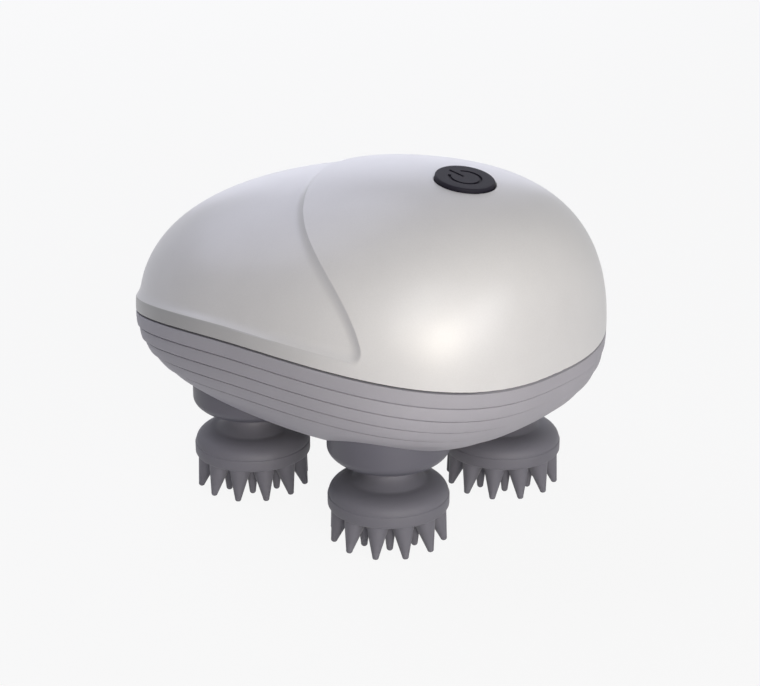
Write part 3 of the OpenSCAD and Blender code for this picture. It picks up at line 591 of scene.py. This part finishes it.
@dataclass(frozen=True)
class Recess:
    """The shallow recess over the narrow end, whose edge runs from the spine down to a tongue.

    Its depth falls from the spine's start to the narrow tip.
    """

    start_x: float = -9.0
    depth: float = 1.5
    tip_depth: float = 0.8
    run: float = 3.2
    crispness: float = 2.2
    top_angle: float = 75.7
    side_angle: float = 53.2
    curl: float = 3.4
    ledge: float = 3.5
    corner: float = 4.0
    spine_round: float = 9.0
    edge_lean: float = 0.5
    edge_points: int = 700

    def tipward(self, egg: Egg, x: float) -> float:
        """Share of the way along the body from the start of the recess to the narrow tip."""
        return min(max((self.start_x - x) / (self.start_x + egg.half_length), 0.0), 1.0)

    def edge_angle(self, share: float) -> float:
        """Outline angle of the edge at a share of the way from the spine to the seam."""
        return self.top_angle - (self.top_angle - self.side_angle) * share ** self.curl

    def edge(self, egg: Egg) -> list[Vector]:
        """Draws the edge on the dome, rounded where it starts.

        Args:
            egg: The egg with the dome.

        Returns:
            The edge's points from the spine to the seam.
        """
        start = Vector((self.start_x, 0))
        points = []
        for i in range(self.edge_points + 1):
            share = i / self.edge_points
            reach = egg.outline(self.edge_angle(share)) - start
            spot = start + share * reach
            ahead = spot.x - start.x
            slope = reach.x / reach.y
            blunt = slope * self.spine_round / 2 * math.exp(-(spot.y / self.spine_round) ** 2)
            spot.x = start.x + math.hypot(ahead, blunt)
            points.append(Vector((spot.x, spot.y, egg.dome_rise(spot.x, spot.y))))
        return points


@dataclass
class TopShell:
    """The lacquered upper shell, with the recess and the hole for the button."""

    egg: Egg = field(default_factory=Egg)
    recess: Recess = field(default_factory=Recess)
    columns: int = 288
    rows: int = 120
    plain_share: float = 0.4
    step_share: float = 0.25
    step_before: float = 0.15
    step_spread: float = 1.3
    step_from: float = 0.12
    step_most: float = 26.0
    button_x: float = 35.3
    button_lean: float = 2.5
    button_hole_radius: float = 7.7
    button_hole_depth: float = 8.0
    button_hole_top: float = 3.0
    button_hole_bevel: float = 0.35

    def spine(self, x: float) -> float:
        """Height of the spine at x."""
        return self.egg.seam(x) + self.egg.dome_rise(x, 0)

    def button_place(self) -> Matrix:
        """Finds the place of the button.

        Returns:
            Its origin, on the spine, and its axis, which leans a little more than the spine's.
        """
        fall = self.spine(self.button_x - 1) - self.spine(self.button_x + 1)
        tilt = math.atan2(fall, 2) + math.radians(self.button_lean)
        spot = Vector((self.button_x, 0, self.spine(self.button_x)))
        return Matrix.Translation(spot) @ Matrix.Rotation(tilt, 4, "Y")

    def column_angle(self, turn: float, share: float) -> float:
        """Outline angle of a mesh column, with many columns on the step of the recess.

        Args:
            turn: The column's place, from -1 to 1 round the body.
            share: Share of the way from the spine to the seam.

        Returns:
            The angle in degrees.
        """
        edge = self.recess.edge_angle(share)
        spread = self.recess.run * self.step_spread / max(share, self.step_from)
        step = min(spread, self.step_most)
        before = step * self.step_before
        side = abs(turn)
        step_end = self.plain_share + self.step_share
        if side < self.plain_share:
            angle = (edge - before) * side / self.plain_share
        elif side < step_end:
            angle = edge - before + step * (side - self.plain_share) / self.step_share
        else:
            low = edge - before + step
            angle = low + (180 - low) * (side - step_end) / (1 - step_end)
        return math.copysign(angle, turn)

    def dip(self, spot: Vector, edge_x: float, nearest: float) -> float:
        """Depth of the recess under a point of the plain dome.

        Args:
            spot: The point, with its height above the seam.
            edge_x: Place along X of the recess's edge at the point's distance from the spine.
            nearest: Distance from the edge.

        Returns:
            The depth.
        """
        share = self.recess.tipward(self.egg, spot.x)
        depth = self.recess.depth + (self.recess.tip_depth - self.recess.depth) * share
        along = nearest if spot.x < edge_x else 0.0
        above = max(spot.z - self.recess.ledge, 0.0)
        corner = self.recess.corner
        if along < corner and above < corner:
            reach = max(corner - math.hypot(corner - along, corner - above), 0.0)
        else:
            reach = min(along, above)
        left = 1 - min(reach / self.recess.run, 1.0)
        return depth * (1 - left ** self.recess.crispness)

    def shape(self) -> Shape:
        """Bends a ball into the shell: its upper half outside, its lower half inside.

        Returns:
            The shell without its hole.
        """
        shape = bmesh.new()
        bmesh.ops.create_uvsphere(
            shape, u_segments=self.columns, v_segments=2 * self.rows, radius=1.0)
        edge = self.recess.edge(self.egg)
        tree = KDTree(len(edge))
        for index, point in enumerate(edge):
            tree.insert(point, index)
        tree.balance()
        inner = self.egg.inside()
        for vert in shape.verts:
            row = ball_row(vert, self.rows)
            turn = math.atan2(vert.co.y, vert.co.x) / math.pi
            if vert.co.z > -1e-4:
                spot, depth = self.dome_point(self.egg, turn, row / self.rows, edge, tree)
            else:
                share = (row - 1) / (self.rows - 1)
                depth = self.dome_point(self.egg, turn, share, edge, tree)[1]
                spot = self.dome_point(inner, turn, share, edge, tree)[0]
            normal = Vector((
                spot.x / self.egg.half_length ** 2,
                spot.y / self.egg.half_width ** 2,
                spot.z / self.egg.dome_height ** 2)).normalized()
            sunk = spot - depth * normal
            sunk.z += self.egg.seam(sunk.x) + self.egg.seam_gap / 2
            vert.co = sunk
        bmesh.ops.recalc_face_normals(shape, faces=shape.faces)
        return shape

    def dome_point(
        self, egg: Egg, turn: float, climb: float, edge: Sequence[Vector], tree: KDTree
    ) -> tuple[Vector, float]:
        """Finds a point of the plain dome and how deep the recess is there.

        Args:
            egg: The egg whose dome it is.
            turn: The point's place round the body, from -1 to 1.
            climb: Its place from the seam, 0, to the start of the recess, 1.
            edge: The points of the recess's edge.
            tree: The same points, to search.

        Returns:
            The point, its height counted from the seam, and the depth.
        """
        start = Vector((self.recess.start_x, 0))
        share = math.cos(math.radians(90 * climb))
        plan = start + share * (egg.outline(self.column_angle(turn, share)) - start)
        spot = Vector((plan.x, abs(plan.y), egg.dome_rise(plan.x, plan.y)))
        _, index, nearest = tree.find(spot)
        edge_x = edge[index].x
        if edge[index].y > 1e-6:
            edge_x += (spot.y - edge[index].y) * self.recess.edge_lean
        depth = self.dip(spot, edge_x, nearest)
        return Vector((plan.x, plan.y, spot.z)), depth

    def build(self) -> Piece:
        """Makes the shell as a piece that rides on the casing.

        Returns:
            The shell.
        """
        shell = finished("upper_shell", self.shape(), Surface.pearl_shell)
        radius, low, high = self.button_hole_radius, -self.button_hole_depth, self.button_hole_top
        hole = spun([
            (0, low), (radius, low), (radius, -self.button_hole_bevel),
            (radius + self.button_hole_bevel, 0.15), (radius + 2, high), (0, high)])
        hole.transform(self.button_place())
        cut(shell, hole)
        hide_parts("top_shell")
        return shell


@dataclass
class BottomShell:
    """The grained lower shell with its stepped ribs and the holes for the collars."""

    egg: Egg = field(default_factory=Egg)
    first_rib: float = 3.7
    rib_pitch: float = 3.8
    rib_count: int = 4
    rib_inset: float = 0.45
    rib_groove: float = 0.35
    rib_ease: float = 1.3
    rib_fade: float = 0.25
    edge_inset: float = 0.12
    edge_round: float = 0.1
    columns: int = 256
    flat_rows: int = 26
    halvings: int = 26
    sharp_angle: float = 28.0
    screw_places: tuple[tuple[float, float], ...] = ((-52.0, 9.0), (52.0, 14.0))
    screw_hole_radius: float = 2.8
    screw_hole_roof: float = 12.0
    seat_hole_radius: float = 8.05
    seat_hole_top: float = 30.0
    collar_gap: float = 0.12
    hole_overrun: float = 3.0
    hole_start: float = -5.0

    def rings(self) -> list[Ring]:
        """Lists the rings of the outer face, from the seam down.

        Returns:
            Depth, blend towards the flat underside and inset of each ring.
        """
        top = self.edge_round
        rings = [(0.0, 0.0, self.edge_inset), (top, 0.0, 0.0)]
        deep = self.rib_inset + self.rib_groove
        for rib in range(self.rib_count):
            low = self.first_rib + self.rib_pitch * rib
            start = self.rib_inset if rib else 0.0
            rings += [
                (top + (low - top) * share, 0.0, start * (1 - share) ** self.rib_ease)
                for share in (0.15, 0.35, 0.6, 0.85)]
            step = (
                (-0.12, 0.01), (-0.02, 0.1), (0.08, self.rib_inset), (0.14, deep), (0.4, deep),
                (0.55, self.rib_inset))
            rings += [(low + down, 0.0, inset) for down, inset in step]
            top = low + step[-1][0]
        for row in range(1, self.flat_rows + 1):
            share = row / self.flat_rows
            left = max(1 - share / self.rib_fade, 0.0)
            rings.append((top, share, self.rib_inset * left ** self.rib_ease))
        return rings

    def inner_rings(self, count: int) -> list[Ring]:
        """Lists the rings of the inner face, from the seam down.

        Args:
            count: Number of rings.

        Returns:
            Depth, blend and inset of each ring.
        """
        last = self.first_rib + self.rib_pitch * (self.rib_count - 1)
        shares = [2 * row / (count - 1) for row in range(count)]
        return [(last * min(share, 1.0), max(share - 1, 0.0), 0.0) for share in shares]

    def target(self, egg: Egg, x: float, depth: float, blend: float) -> float:
        """Depth below the seam that a ring asks for at x."""
        flat = egg.seam(x) - egg.seam_gap / 2 - egg.under_z
        return (1 - blend) * depth + blend * flat

    def ring_point(self, egg: Egg, angle: float, ring: Ring) -> Vector:
        """Finds a ring's point on the belly by halving.

        Args:
            egg: The egg whose belly it is.
            angle: The point's direction from the middle, in degrees.
            ring: The ring's depth below the seam, its blend from that depth, 0, to the flat
                underside, 1, and how far it lies inside the belly.

        Returns:
            The point.
        """
        depth, blend, inset = ring
        outline = egg.outline(angle)
        low, high = 0.0, 1.0
        for _ in range(self.halvings):
            middle = (low + high) / 2
            spot = outline * middle
            if egg.belly_fall(spot.x, spot.y) > self.target(egg, spot.x, depth, blend):
                low = middle
            else:
                high = middle
        spot = outline * ((low + high) / 2 - inset / outline.length)
        drop = self.target(egg, spot.x, depth, blend)
        return Vector((spot.x, spot.y, egg.seam(spot.x) - egg.seam_gap / 2 - drop))

    def shape(self) -> Shape:
        """Bends a ball into the shell: its lower half outside, its upper half inside.

        Returns:
            The shell without its holes.
        """
        outer = self.rings()
        rows = len(outer)
        inner = self.inner_rings(rows - 1)
        inner_egg = self.egg.inside()
        shape = bmesh.new()
        bmesh.ops.create_uvsphere(
            shape, u_segments=self.columns, v_segments=2 * rows, radius=1.0)
        for vert in shape.verts:
            row = ball_row(vert, rows)
            angle = math.degrees(math.atan2(vert.co.y, vert.co.x))
            below = vert.co.z < 1e-4
            if row == rows:
                vert.co = (0, 0, self.egg.under_z if below else inner_egg.under_z)
            elif below:
                vert.co = self.ring_point(self.egg, angle, outer[row])
            else:
                vert.co = self.ring_point(inner_egg, angle, inner[row - 1])
        bmesh.ops.recalc_face_normals(shape, faces=shape.faces)
        return shape

    def holes(self, heads: "HeadSet") -> list[tuple[float, float, float, float]]:
        """Place x, y, radius and top z of each round hole from below.

        Args:
            heads: The heads, whose collars go up into the shell.

        Returns:
            The holes of the collars, the casing screws and the charging seat.
        """
        spots = [heads.spot(place) for place in heads.places]
        radius = heads.collar_radius + self.collar_gap
        collars = [(s.x, s.y, radius, heads.collar_top + self.hole_overrun) for s in spots]
        screws = [
            (x, y * side, self.screw_hole_radius, self.egg.seam(x) - self.screw_hole_roof)
            for x, y in self.screw_places for side in (-1, 1)]
        return [
            *collars, *screws, (heads.middle_x, 0.0, self.seat_hole_radius, self.seat_hole_top)]

    def build(self, heads: "HeadSet") -> Piece:
        """Makes the shell as a piece that rides on the casing.

        Args:
            heads: The heads, whose collars go up into the shell.

        Returns:
            The shell.
        """
        shell = finished("lower_shell", self.shape(), Surface.grey_shell, self.sharp_angle)
        for x, y, radius, top in self.holes(heads):
            start = self.hole_start
            drill = spun([(0, start), (radius, start), (radius, top), (0, top)])
            bmesh.ops.translate(drill, vec=(x, y, 0), verts=drill.verts)
            cut(shell, drill)
        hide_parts("bottom_shell")
        return shell


@dataclass
class SeamGasket:
    """The dark gasket between the shells, set back from the outside."""

    egg: Egg = field(default_factory=Egg)
    inset: float = 0.8
    width: float = 1.1
    clearance: float = 0.02
    columns: int = 256

    def build(self) -> Piece:
        """Makes the gasket as a piece that rides on the casing.

        Returns:
            The gasket.
        """
        shape = bmesh.new()
        bmesh.ops.create_circle(shape, segments=self.columns, radius=1.0)
        outer = list(shape.edges)
        inner = bmesh.ops.extrude_edge_only(shape, edges=outer)["geom"]
        inner_verts = {v for v in inner if isinstance(v, bmesh.types.BMVert)}
        faces = list(shape.faces)
        half = self.egg.seam_gap / 2 - self.clearance
        for vert in shape.verts:
            outline = self.egg.outline(math.degrees(math.atan2(vert.co.y, vert.co.x)))
            back = self.inset + (self.width if vert in inner_verts else 0.0)
            spot = outline * (1 - back / outline.length)
            vert.co = (spot.x, spot.y, self.egg.seam(spot.x) - half)
        raised = bmesh.ops.extrude_face_region(shape, geom=faces)["geom"]
        for vert in raised:
            if isinstance(vert, bmesh.types.BMVert):
                vert.co.z += 2 * half
        bmesh.ops.recalc_face_normals(shape, faces=shape.faces)
        gasket = finished("seam_gasket_ring", shape, Surface.gasket_rubber)
        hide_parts("seam_gasket")
        return gasket


# -------------------- the button


@dataclass
class PowerButton:
    """The soft button with the standard power sign moulded into its face."""

    place: Matrix
    radius: float = 7.5
    proud: float = 1.0
    cap_depth: float = 2.4
    stem_radius: float = 2.5
    stem_depth: float = 6.0
    edge_round: float = 0.45
    lower_bevel: float = 0.2
    face_rings: tuple[float, float] = (6.3, 2.0)
    sign_radius: float = 4.3
    sign_width: float = 0.8
    sign_depth: float = 0.4
    sign_height: float = 2.0
    sign_gap: float = 32.0
    sign_steps: int = 64
    bar_length: float = 4.7
    bar_start: float = -0.5

    def sign(self) -> Shape:
        """Makes the ring with its gap and the bar.

        Returns:
            One closed shape to cut with.
        """
        shape = bmesh.new()
        low = self.proud - self.sign_depth
        high = low + self.sign_height
        middle = self.sign_radius - self.sign_width / 2
        half = self.sign_width / 2
        corners = [
            shape.verts.new((middle + dx, 0, z))
            for dx, z in ((-half, low), (half, low), (half, high), (-half, high))]
        face = shape.faces.new(corners)
        start = math.radians(180 + self.sign_gap)
        sweep = math.radians(360 - 2 * self.sign_gap)
        bmesh.ops.rotate(
            shape, cent=(0, 0, 0), matrix=Matrix.Rotation(start, 3, "Z"), verts=shape.verts)
        bmesh.ops.spin(
            shape, geom=[face, *face.verts, *face.edges], cent=(0, 0, 0), axis=(0, 0, 1),
            dvec=(0, 0, 0), angle=sweep, steps=self.sign_steps, use_merge=False)
        bmesh.ops.recalc_face_normals(shape, faces=shape.faces)
        bar = bmesh.new()
        bmesh.ops.create_cube(bar, size=1.0)
        size = (self.bar_length, self.sign_width, self.sign_height)
        place = (self.bar_start - self.bar_length / 2, 0, (low + high) / 2)
        bmesh.ops.scale(bar, vec=size, verts=bar.verts)
        bmesh.ops.translate(bar, vec=place, verts=bar.verts)
        add_copy(shape, bar, Matrix.Identity(4))
        bar.free()
        return shape

    def build(self) -> Piece:
        """Makes the button as a piece that rides on its own sliding body.

        Returns:
            The button.
        """
        top = self.proud
        shape = spun([
            (0, -self.stem_depth), (self.stem_radius, -self.stem_depth),
            (self.stem_radius, -self.cap_depth),
            (self.radius - self.lower_bevel, -self.cap_depth),
            (self.radius, -self.cap_depth + self.lower_bevel),
            *arc((self.radius - self.edge_round, top - self.edge_round),
                 self.edge_round, 0, 90, 8),
            *((radius, top) for radius in self.face_rings), (0, top)])
        button = finished("soft_button", shape, Surface.button_rubber)
        cut(button, self.sign())
        button.data.transform(Matrix.Scale(MM, 4) @ self.place @ Matrix.Scale(1 / MM, 4))
        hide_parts("power_button")
        return button


# -------------------- heads and collars


@dataclass
class HeadSet:
    """The four silicone heads with their teeth, and the collars above them."""

    middle_x: float = 6.6
    pitch_x: float = 49.0
    pitch_y: float = 45.9874
    radius: float = 15.4
    tooth_length: float = 8.8
    rim_height: float = 3.2
    rim_round: float = 0.6
    rim_groove: float = 0.22
    shoulder_height: float = 3.8
    neck_radius: float = 6.2
    neck_flare: float = 3.4
    neck_curve: float = 2.2
    neck_steps: int = 16
    shoulder_steps: int = 13
    shaft_radius: float = 3.4
    top: float = 19.6
    outer_teeth: int = 12
    inner_teeth: int = 8
    inner_ring: float = 8.9
    tip_ring: float = 14.5
    outer_root_radius: float = 2.9
    inner_root_radius: float = 1.8
    root_bite: float = 1.4
    root_share: float = 0.97
    root_flare: float = 0.1
    root_flare_height: float = 0.5
    tooth_steps: int = 24
    tip_radius: float = 0.85
    tip_trim: float = 0.15
    teeth_turn: float = -1.0
    collar_radius: float = 15.5
    collar_wall: float = 1.8
    collar_bottom: float = 20.0
    collar_flat: float = 6.4
    collar_dome: float = 25.2
    collar_top: float = 33.0
    collar_hollow: float = 2.0
    bowl_start: float = 0.2
    bowl_steps: int = 48
    eye_radius: float = 3.7
    eye_bevel: float = 0.2
    eye_depth: float = 0.4
    turning_steps: int = 128
    sharp_angle: float = 50.0
    places: tuple[str, ...] = ("front_right", "front_left", "rear_right", "rear_left")

    def spot(self, place: str) -> Vector:
        """Finds the point on the floor under a head.

        Args:
            place: The name of the head's place.

        Returns:
            The point.
        """
        x = self.middle_x + (self.pitch_x / 2 if "front" in place else -self.pitch_x / 2)
        y = -self.pitch_y / 2 if "right" in place else self.pitch_y / 2
        return Vector((x, y, 0))

    def tooth(self, root_radius: float) -> Shape:
        """Spins one tooth: a round tip, a straight cone and a root inside the head.

        Args:
            root_radius: The cone's radius where it meets the head.

        Returns:
            The tooth, upright on its tip.
        """
        centre = (0.0, self.tip_radius - self.tip_trim)
        tip = [p for p in arc(centre, self.tip_radius, -90, 0, 8) if p[1] > 0]
        flat = math.sqrt(self.tip_radius ** 2 - centre[1] ** 2)
        top = self.tooth_length + self.root_bite
        flared = root_radius + self.root_flare
        return spun([
            (0, 0), (flat, 0), *tip,
            (root_radius * self.root_share, self.tooth_length - self.root_flare_height),
            (flared, self.tooth_length), (flared, top), (0, top)], self.tooth_steps)

    def head_profile(self) -> list[tuple[float, float]]:
        """Draws the outline of a head without its teeth.

        Returns:
            Its points from the axis below to the axis above.
        """
        low = self.tooth_length
        rim = low + self.rim_height
        start = self.radius - self.rim_groove
        shoulder = self.neck_radius + self.neck_flare
        flare = self.top - rim - self.shoulder_height
        profile = [
            (0, low), *arc((self.radius - self.rim_round, low + self.rim_round),
                           self.rim_round, -90, 0, 6),
            (self.radius, rim - 0.3), (self.radius - 0.06, rim - 0.1), (start, rim)]
        for step in range(1, self.shoulder_steps):
            angle = math.radians(90 * step / self.shoulder_steps)
            profile.append((
                shoulder + (start - shoulder) * math.cos(angle),
                rim + self.shoulder_height * math.sin(angle)))
        for step in range(self.neck_steps + 1):
            left = 1 - step / self.neck_steps
            profile.append((
                self.neck_radius + self.neck_flare * left ** self.neck_curve,
                self.top - flare * left))
        return [*profile, (self.shaft_radius, self.top), (0, self.top)]

    def head_shape(self) -> Shape:
        """Joins the spun body of a head and its teeth.

        Returns:
            The head on its own axis.
        """
        shape = spun(self.head_profile(), self.turning_steps)
        tooth = self.tooth(self.outer_root_radius)
        lean = math.atan2(
            self.tip_ring + self.outer_root_radius - self.radius + self.rim_round,
            self.tooth_length)
        for index in range(self.outer_teeth):
            turn = Matrix.Rotation(math.tau * index / self.outer_teeth, 4, "Z")
            out = Matrix.Translation((self.tip_ring, 0, 0)) @ Matrix.Rotation(-lean, 4, "Y")
            add_copy(shape, tooth, turn @ out)
        tooth.free()
        tooth = self.tooth(self.inner_root_radius)
        for index in range(self.inner_teeth):
            turn = Matrix.Rotation(math.tau * index / self.inner_teeth, 4, "Z")
            add_copy(shape, tooth, turn @ Matrix.Translation((self.inner_ring, 0, 0)))
        add_copy(shape, tooth, Matrix.Identity(4))
        tooth.free()
        for vert in shape.verts:
            vert.co.z = max(vert.co.z, 0.0)
        return shape

    def collar_shape(self) -> Shape:
        """Spins a collar: a bowl below and a straight wall that goes up into the shell.

        Returns:
            The collar on its own axis.
        """
        depth = (self.collar_dome - self.collar_bottom) / math.sqrt(
            1 - (self.collar_flat / self.collar_radius) ** 2)
        bowl = []
        for step in range(self.bowl_steps + 1):
            angle = math.radians(-90 + 90 * step / self.bowl_steps)
            radius = self.collar_radius * math.cos(angle)
            if radius > self.collar_flat + self.bowl_start:
                bowl.append((radius, self.collar_dome + depth * math.sin(angle)))
        inner = self.collar_radius - self.collar_wall
        eye = self.collar_bottom + self.eye_depth
        return spun([
            (0, eye), (self.eye_radius, eye),
            (self.eye_radius + self.eye_bevel, self.collar_bottom + 0.02),
            (self.collar_flat, self.collar_bottom), *bowl, (self.collar_radius, self.collar_top),
            (inner, self.collar_top), (inner, self.collar_dome),
            (0, self.collar_dome - self.collar_hollow)], self.turning_steps)

    def build(self) -> list[tuple[Piece, str, Surface]]:
        """Makes the heads and the collars.

        Returns:
            Each piece with the name of the body it rides on and its finish.
        """
        made = []
        turn = Matrix.Rotation(math.radians(self.teeth_turn), 4, "Z")
        for place in self.places:
            spot = Matrix.Translation(self.spot(place))
            shape = self.head_shape()
            shape.transform(spot @ turn)
            piece = finished(
                "silicone_head_" + place, shape, Surface.head_silicone, self.sharp_angle)
            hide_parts("massage_head_" + place)
            made.append((piece, "head_" + place, Surface.head_silicone))
            shape = self.collar_shape()
            shape.transform(spot)
            piece = finished("bowl_collar_" + place, shape, Surface.collar_plastic)
            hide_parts("collar_" + place)
            made.append((piece, "casing", Surface.collar_plastic))
        return made


# -------------------- the studio


@dataclass
class Studio:
    """The pale floor, the soft lights and the camera at the photograph's angle."""

    azimuth: float = 42.11
    elevation: float = 21.06
    distance: float = 484.0
    focal_pixels: float = 1836.0
    target: tuple[float, float, float] = (7.41, 0.0, 39.28)
    sensor_mm: float = 36.0
    floor_size: float = 6.0
    floor_colour: str = "#E9E9EA"
    floor_glow: float = 0.9
    plain_light: float = 0.03

    def back(self) -> Vector:
        """Works out the direction from the object to the camera.

        Returns:
            The direction, one unit long.
        """
        azimuth = math.radians(self.azimuth)
        elevation = math.radians(self.elevation)
        return Vector((
            math.sin(azimuth) * math.cos(elevation),
            -math.cos(azimuth) * math.cos(elevation),
            math.sin(elevation)))

    def camera(self) -> None:
        """Makes the camera and gives it to the scene."""
        data = bpy.data.cameras.new("camera")
        data.sensor_width = self.sensor_mm
        data.lens = self.focal_pixels * self.sensor_mm / IMAGE_WIDTH
        data.clip_start = 0.01
        data.clip_end = 50.0
        eye = in_scene("camera", data)
        eye.location = (Vector(self.target) + self.back() * self.distance) * MM
        eye.rotation_euler = self.back().to_track_quat("Z", "Y").to_euler()
        bpy.context.scene.camera = eye

    def seen(self, tree: Tree, share: float) -> Socket:
        """Tells rays that show the background, straight or in gloss or glass, from the others.

        Args:
            tree: The node tree that asks.
            share: How much of the white background those rays get.

        Returns:
            The socket that holds the share for such a ray and 0 for the others.
        """
        rays = add_node(tree, "ShaderNodeLightPath").outputs
        gloss = add_math(tree, "MAXIMUM", rays["Is Glossy Ray"], rays["Is Transmission Ray"])
        every = add_math(tree, "MAXIMUM", rays["Is Camera Ray"], gloss)
        return add_math(tree, "MULTIPLY", every, share)

    def floor(self) -> None:
        """Makes the floor: white to the camera apart from the object's shadow."""
        shape = bmesh.new()
        bmesh.ops.create_grid(shape, x_segments=2, y_segments=2, size=self.floor_size / 2)
        mesh = bpy.data.meshes.new("floor")
        shape.to_mesh(mesh)
        shape.free()
        material = bpy.data.materials.new("painted_floor")
        tree = empty_tree(material)
        matt = add_node(tree, "ShaderNodeBsdfDiffuse", {"Color": linear(self.floor_colour)})
        glow = add_node(tree, "ShaderNodeEmission", {"Color": WHITE, "Strength": 1.0})
        mix = add_node(
            tree, "ShaderNodeMixShader",
            {"Fac": self.seen(tree, self.floor_glow), 1: matt.outputs[0], 2: glow.outputs[0]})
        add_node(tree, "ShaderNodeOutputMaterial", {"Surface": mix.outputs[0]})
        mesh.materials.append(material)
        floor = in_scene("floor", mesh)

    def lamp(
        self, name: str, azimuth: float, elevation: float, size: float, power: float,
        colour: str = "#FFFFFF", distance: float = 0.9,
    ) -> None:
        """Adds a square soft lamp that looks at the object.

        Args:
            name: The lamp's name.
            azimuth: Its direction round the object, in degrees as for the camera.
            elevation: Its height above the horizon in degrees.
            size: Length of its side in metres.
            power: Its power in watts.
            colour: The colour of its light.
            distance: Its distance from the object in metres.
        """
        data = bpy.data.lights.new(name, "AREA")
        data.shape = "SQUARE"
        data.size = size
        data.energy = power
        data.color = linear(colour)[:3]
        side = Studio(azimuth=azimuth, elevation=elevation).back()
        lamp = in_scene(name, data)
        lamp.location = Vector(self.target) * MM + side * distance
        lamp.rotation_euler = side.to_track_quat("Z", "Y").to_euler()
        lamp.visible_camera = False

    def lights(self) -> None:
        """Adds the lamps."""
        warm = "#FFF8EA"
        cool = "#E9EBFF"
        self.lamp("main_lamp", 62, 4, 0.35, 3.0, warm)
        self.lamp("front_lamp", 45, 8, 0.4, 1.1, warm)
        self.lamp("high_front_lamp", 45, 30, 0.5, 1.6)
        self.lamp("right_lamp", 85, 10, 0.5, 1.9)
        self.lamp("left_lamp", -90, 45, 0.8, 2.7, cool)
        self.lamp("back_lamp", 222, 12, 0.6, 1.2, cool)
        self.lamp("high_back_lamp", 220, 35, 0.7, 0.5, cool)

    def world(self) -> None:
        """Makes the white background and the plain light that comes from all round."""
        world = bpy.data.worlds.new("studio")
        tree = empty_tree(world)
        plain = add_node(
            tree, "ShaderNodeBackground", {"Color": WHITE, "Strength": self.plain_light})
        seen = add_node(tree, "ShaderNodeBackground", {"Color": WHITE, "Strength": 1.0})
        mix = add_node(
            tree, "ShaderNodeMixShader",
            {"Fac": self.seen(tree, 1.0), 1: plain.outputs[0], 2: seen.outputs[0]})
        add_node(tree, "ShaderNodeOutputWorld", {"Surface": mix.outputs[0]})
        bpy.context.scene.world = world

    def build(self) -> None:
        """Sets up the camera, the floor, the lights and the plain view."""
        self.camera()
        self.floor()
        self.lights()
        self.world()
        bpy.context.scene.view_settings.view_transform = "Standard"


# -------------------- putting it together


def dress_cad_nodes() -> None:
    """Gives every CAD node the finish of its material slot."""
    for part in frame["record"]["subparts"]:
        node = frame["nodes"][part["node"]]
        node.data.materials.clear()
        node.data.materials.append(Surface[part["material_slot"]].value.material())
        LOG.info("finish %s on %s", part["material_slot"], part["node"])


def add_piece(piece: Piece, body: str) -> None:
    """Hangs a piece under the empty of the body it rides on, and logs it.

    Args:
        piece: The finished piece.
        body: The body it rides on.
    """
    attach(piece, body)
    LOG.info("%s: %d faces, rides on %s", piece.name, len(piece.data.polygons), body)


def main() -> None:
    """Builds the studio, the finishes and every piece in order."""
    logging.basicConfig(level=logging.INFO, format="%(message)s")
    Studio().build()
    dress_cad_nodes()
    top = TopShell()
    heads = HeadSet()
    add_piece(top.build(), "casing")
    add_piece(BottomShell().build(heads), "casing")
    add_piece(SeamGasket().build(), "casing")
    add_piece(PowerButton(top.button_place()).build(), "button")
    for piece, body, surface in heads.build():
        add_piece(piece, body)


if __name__ == "__main__":
    main()
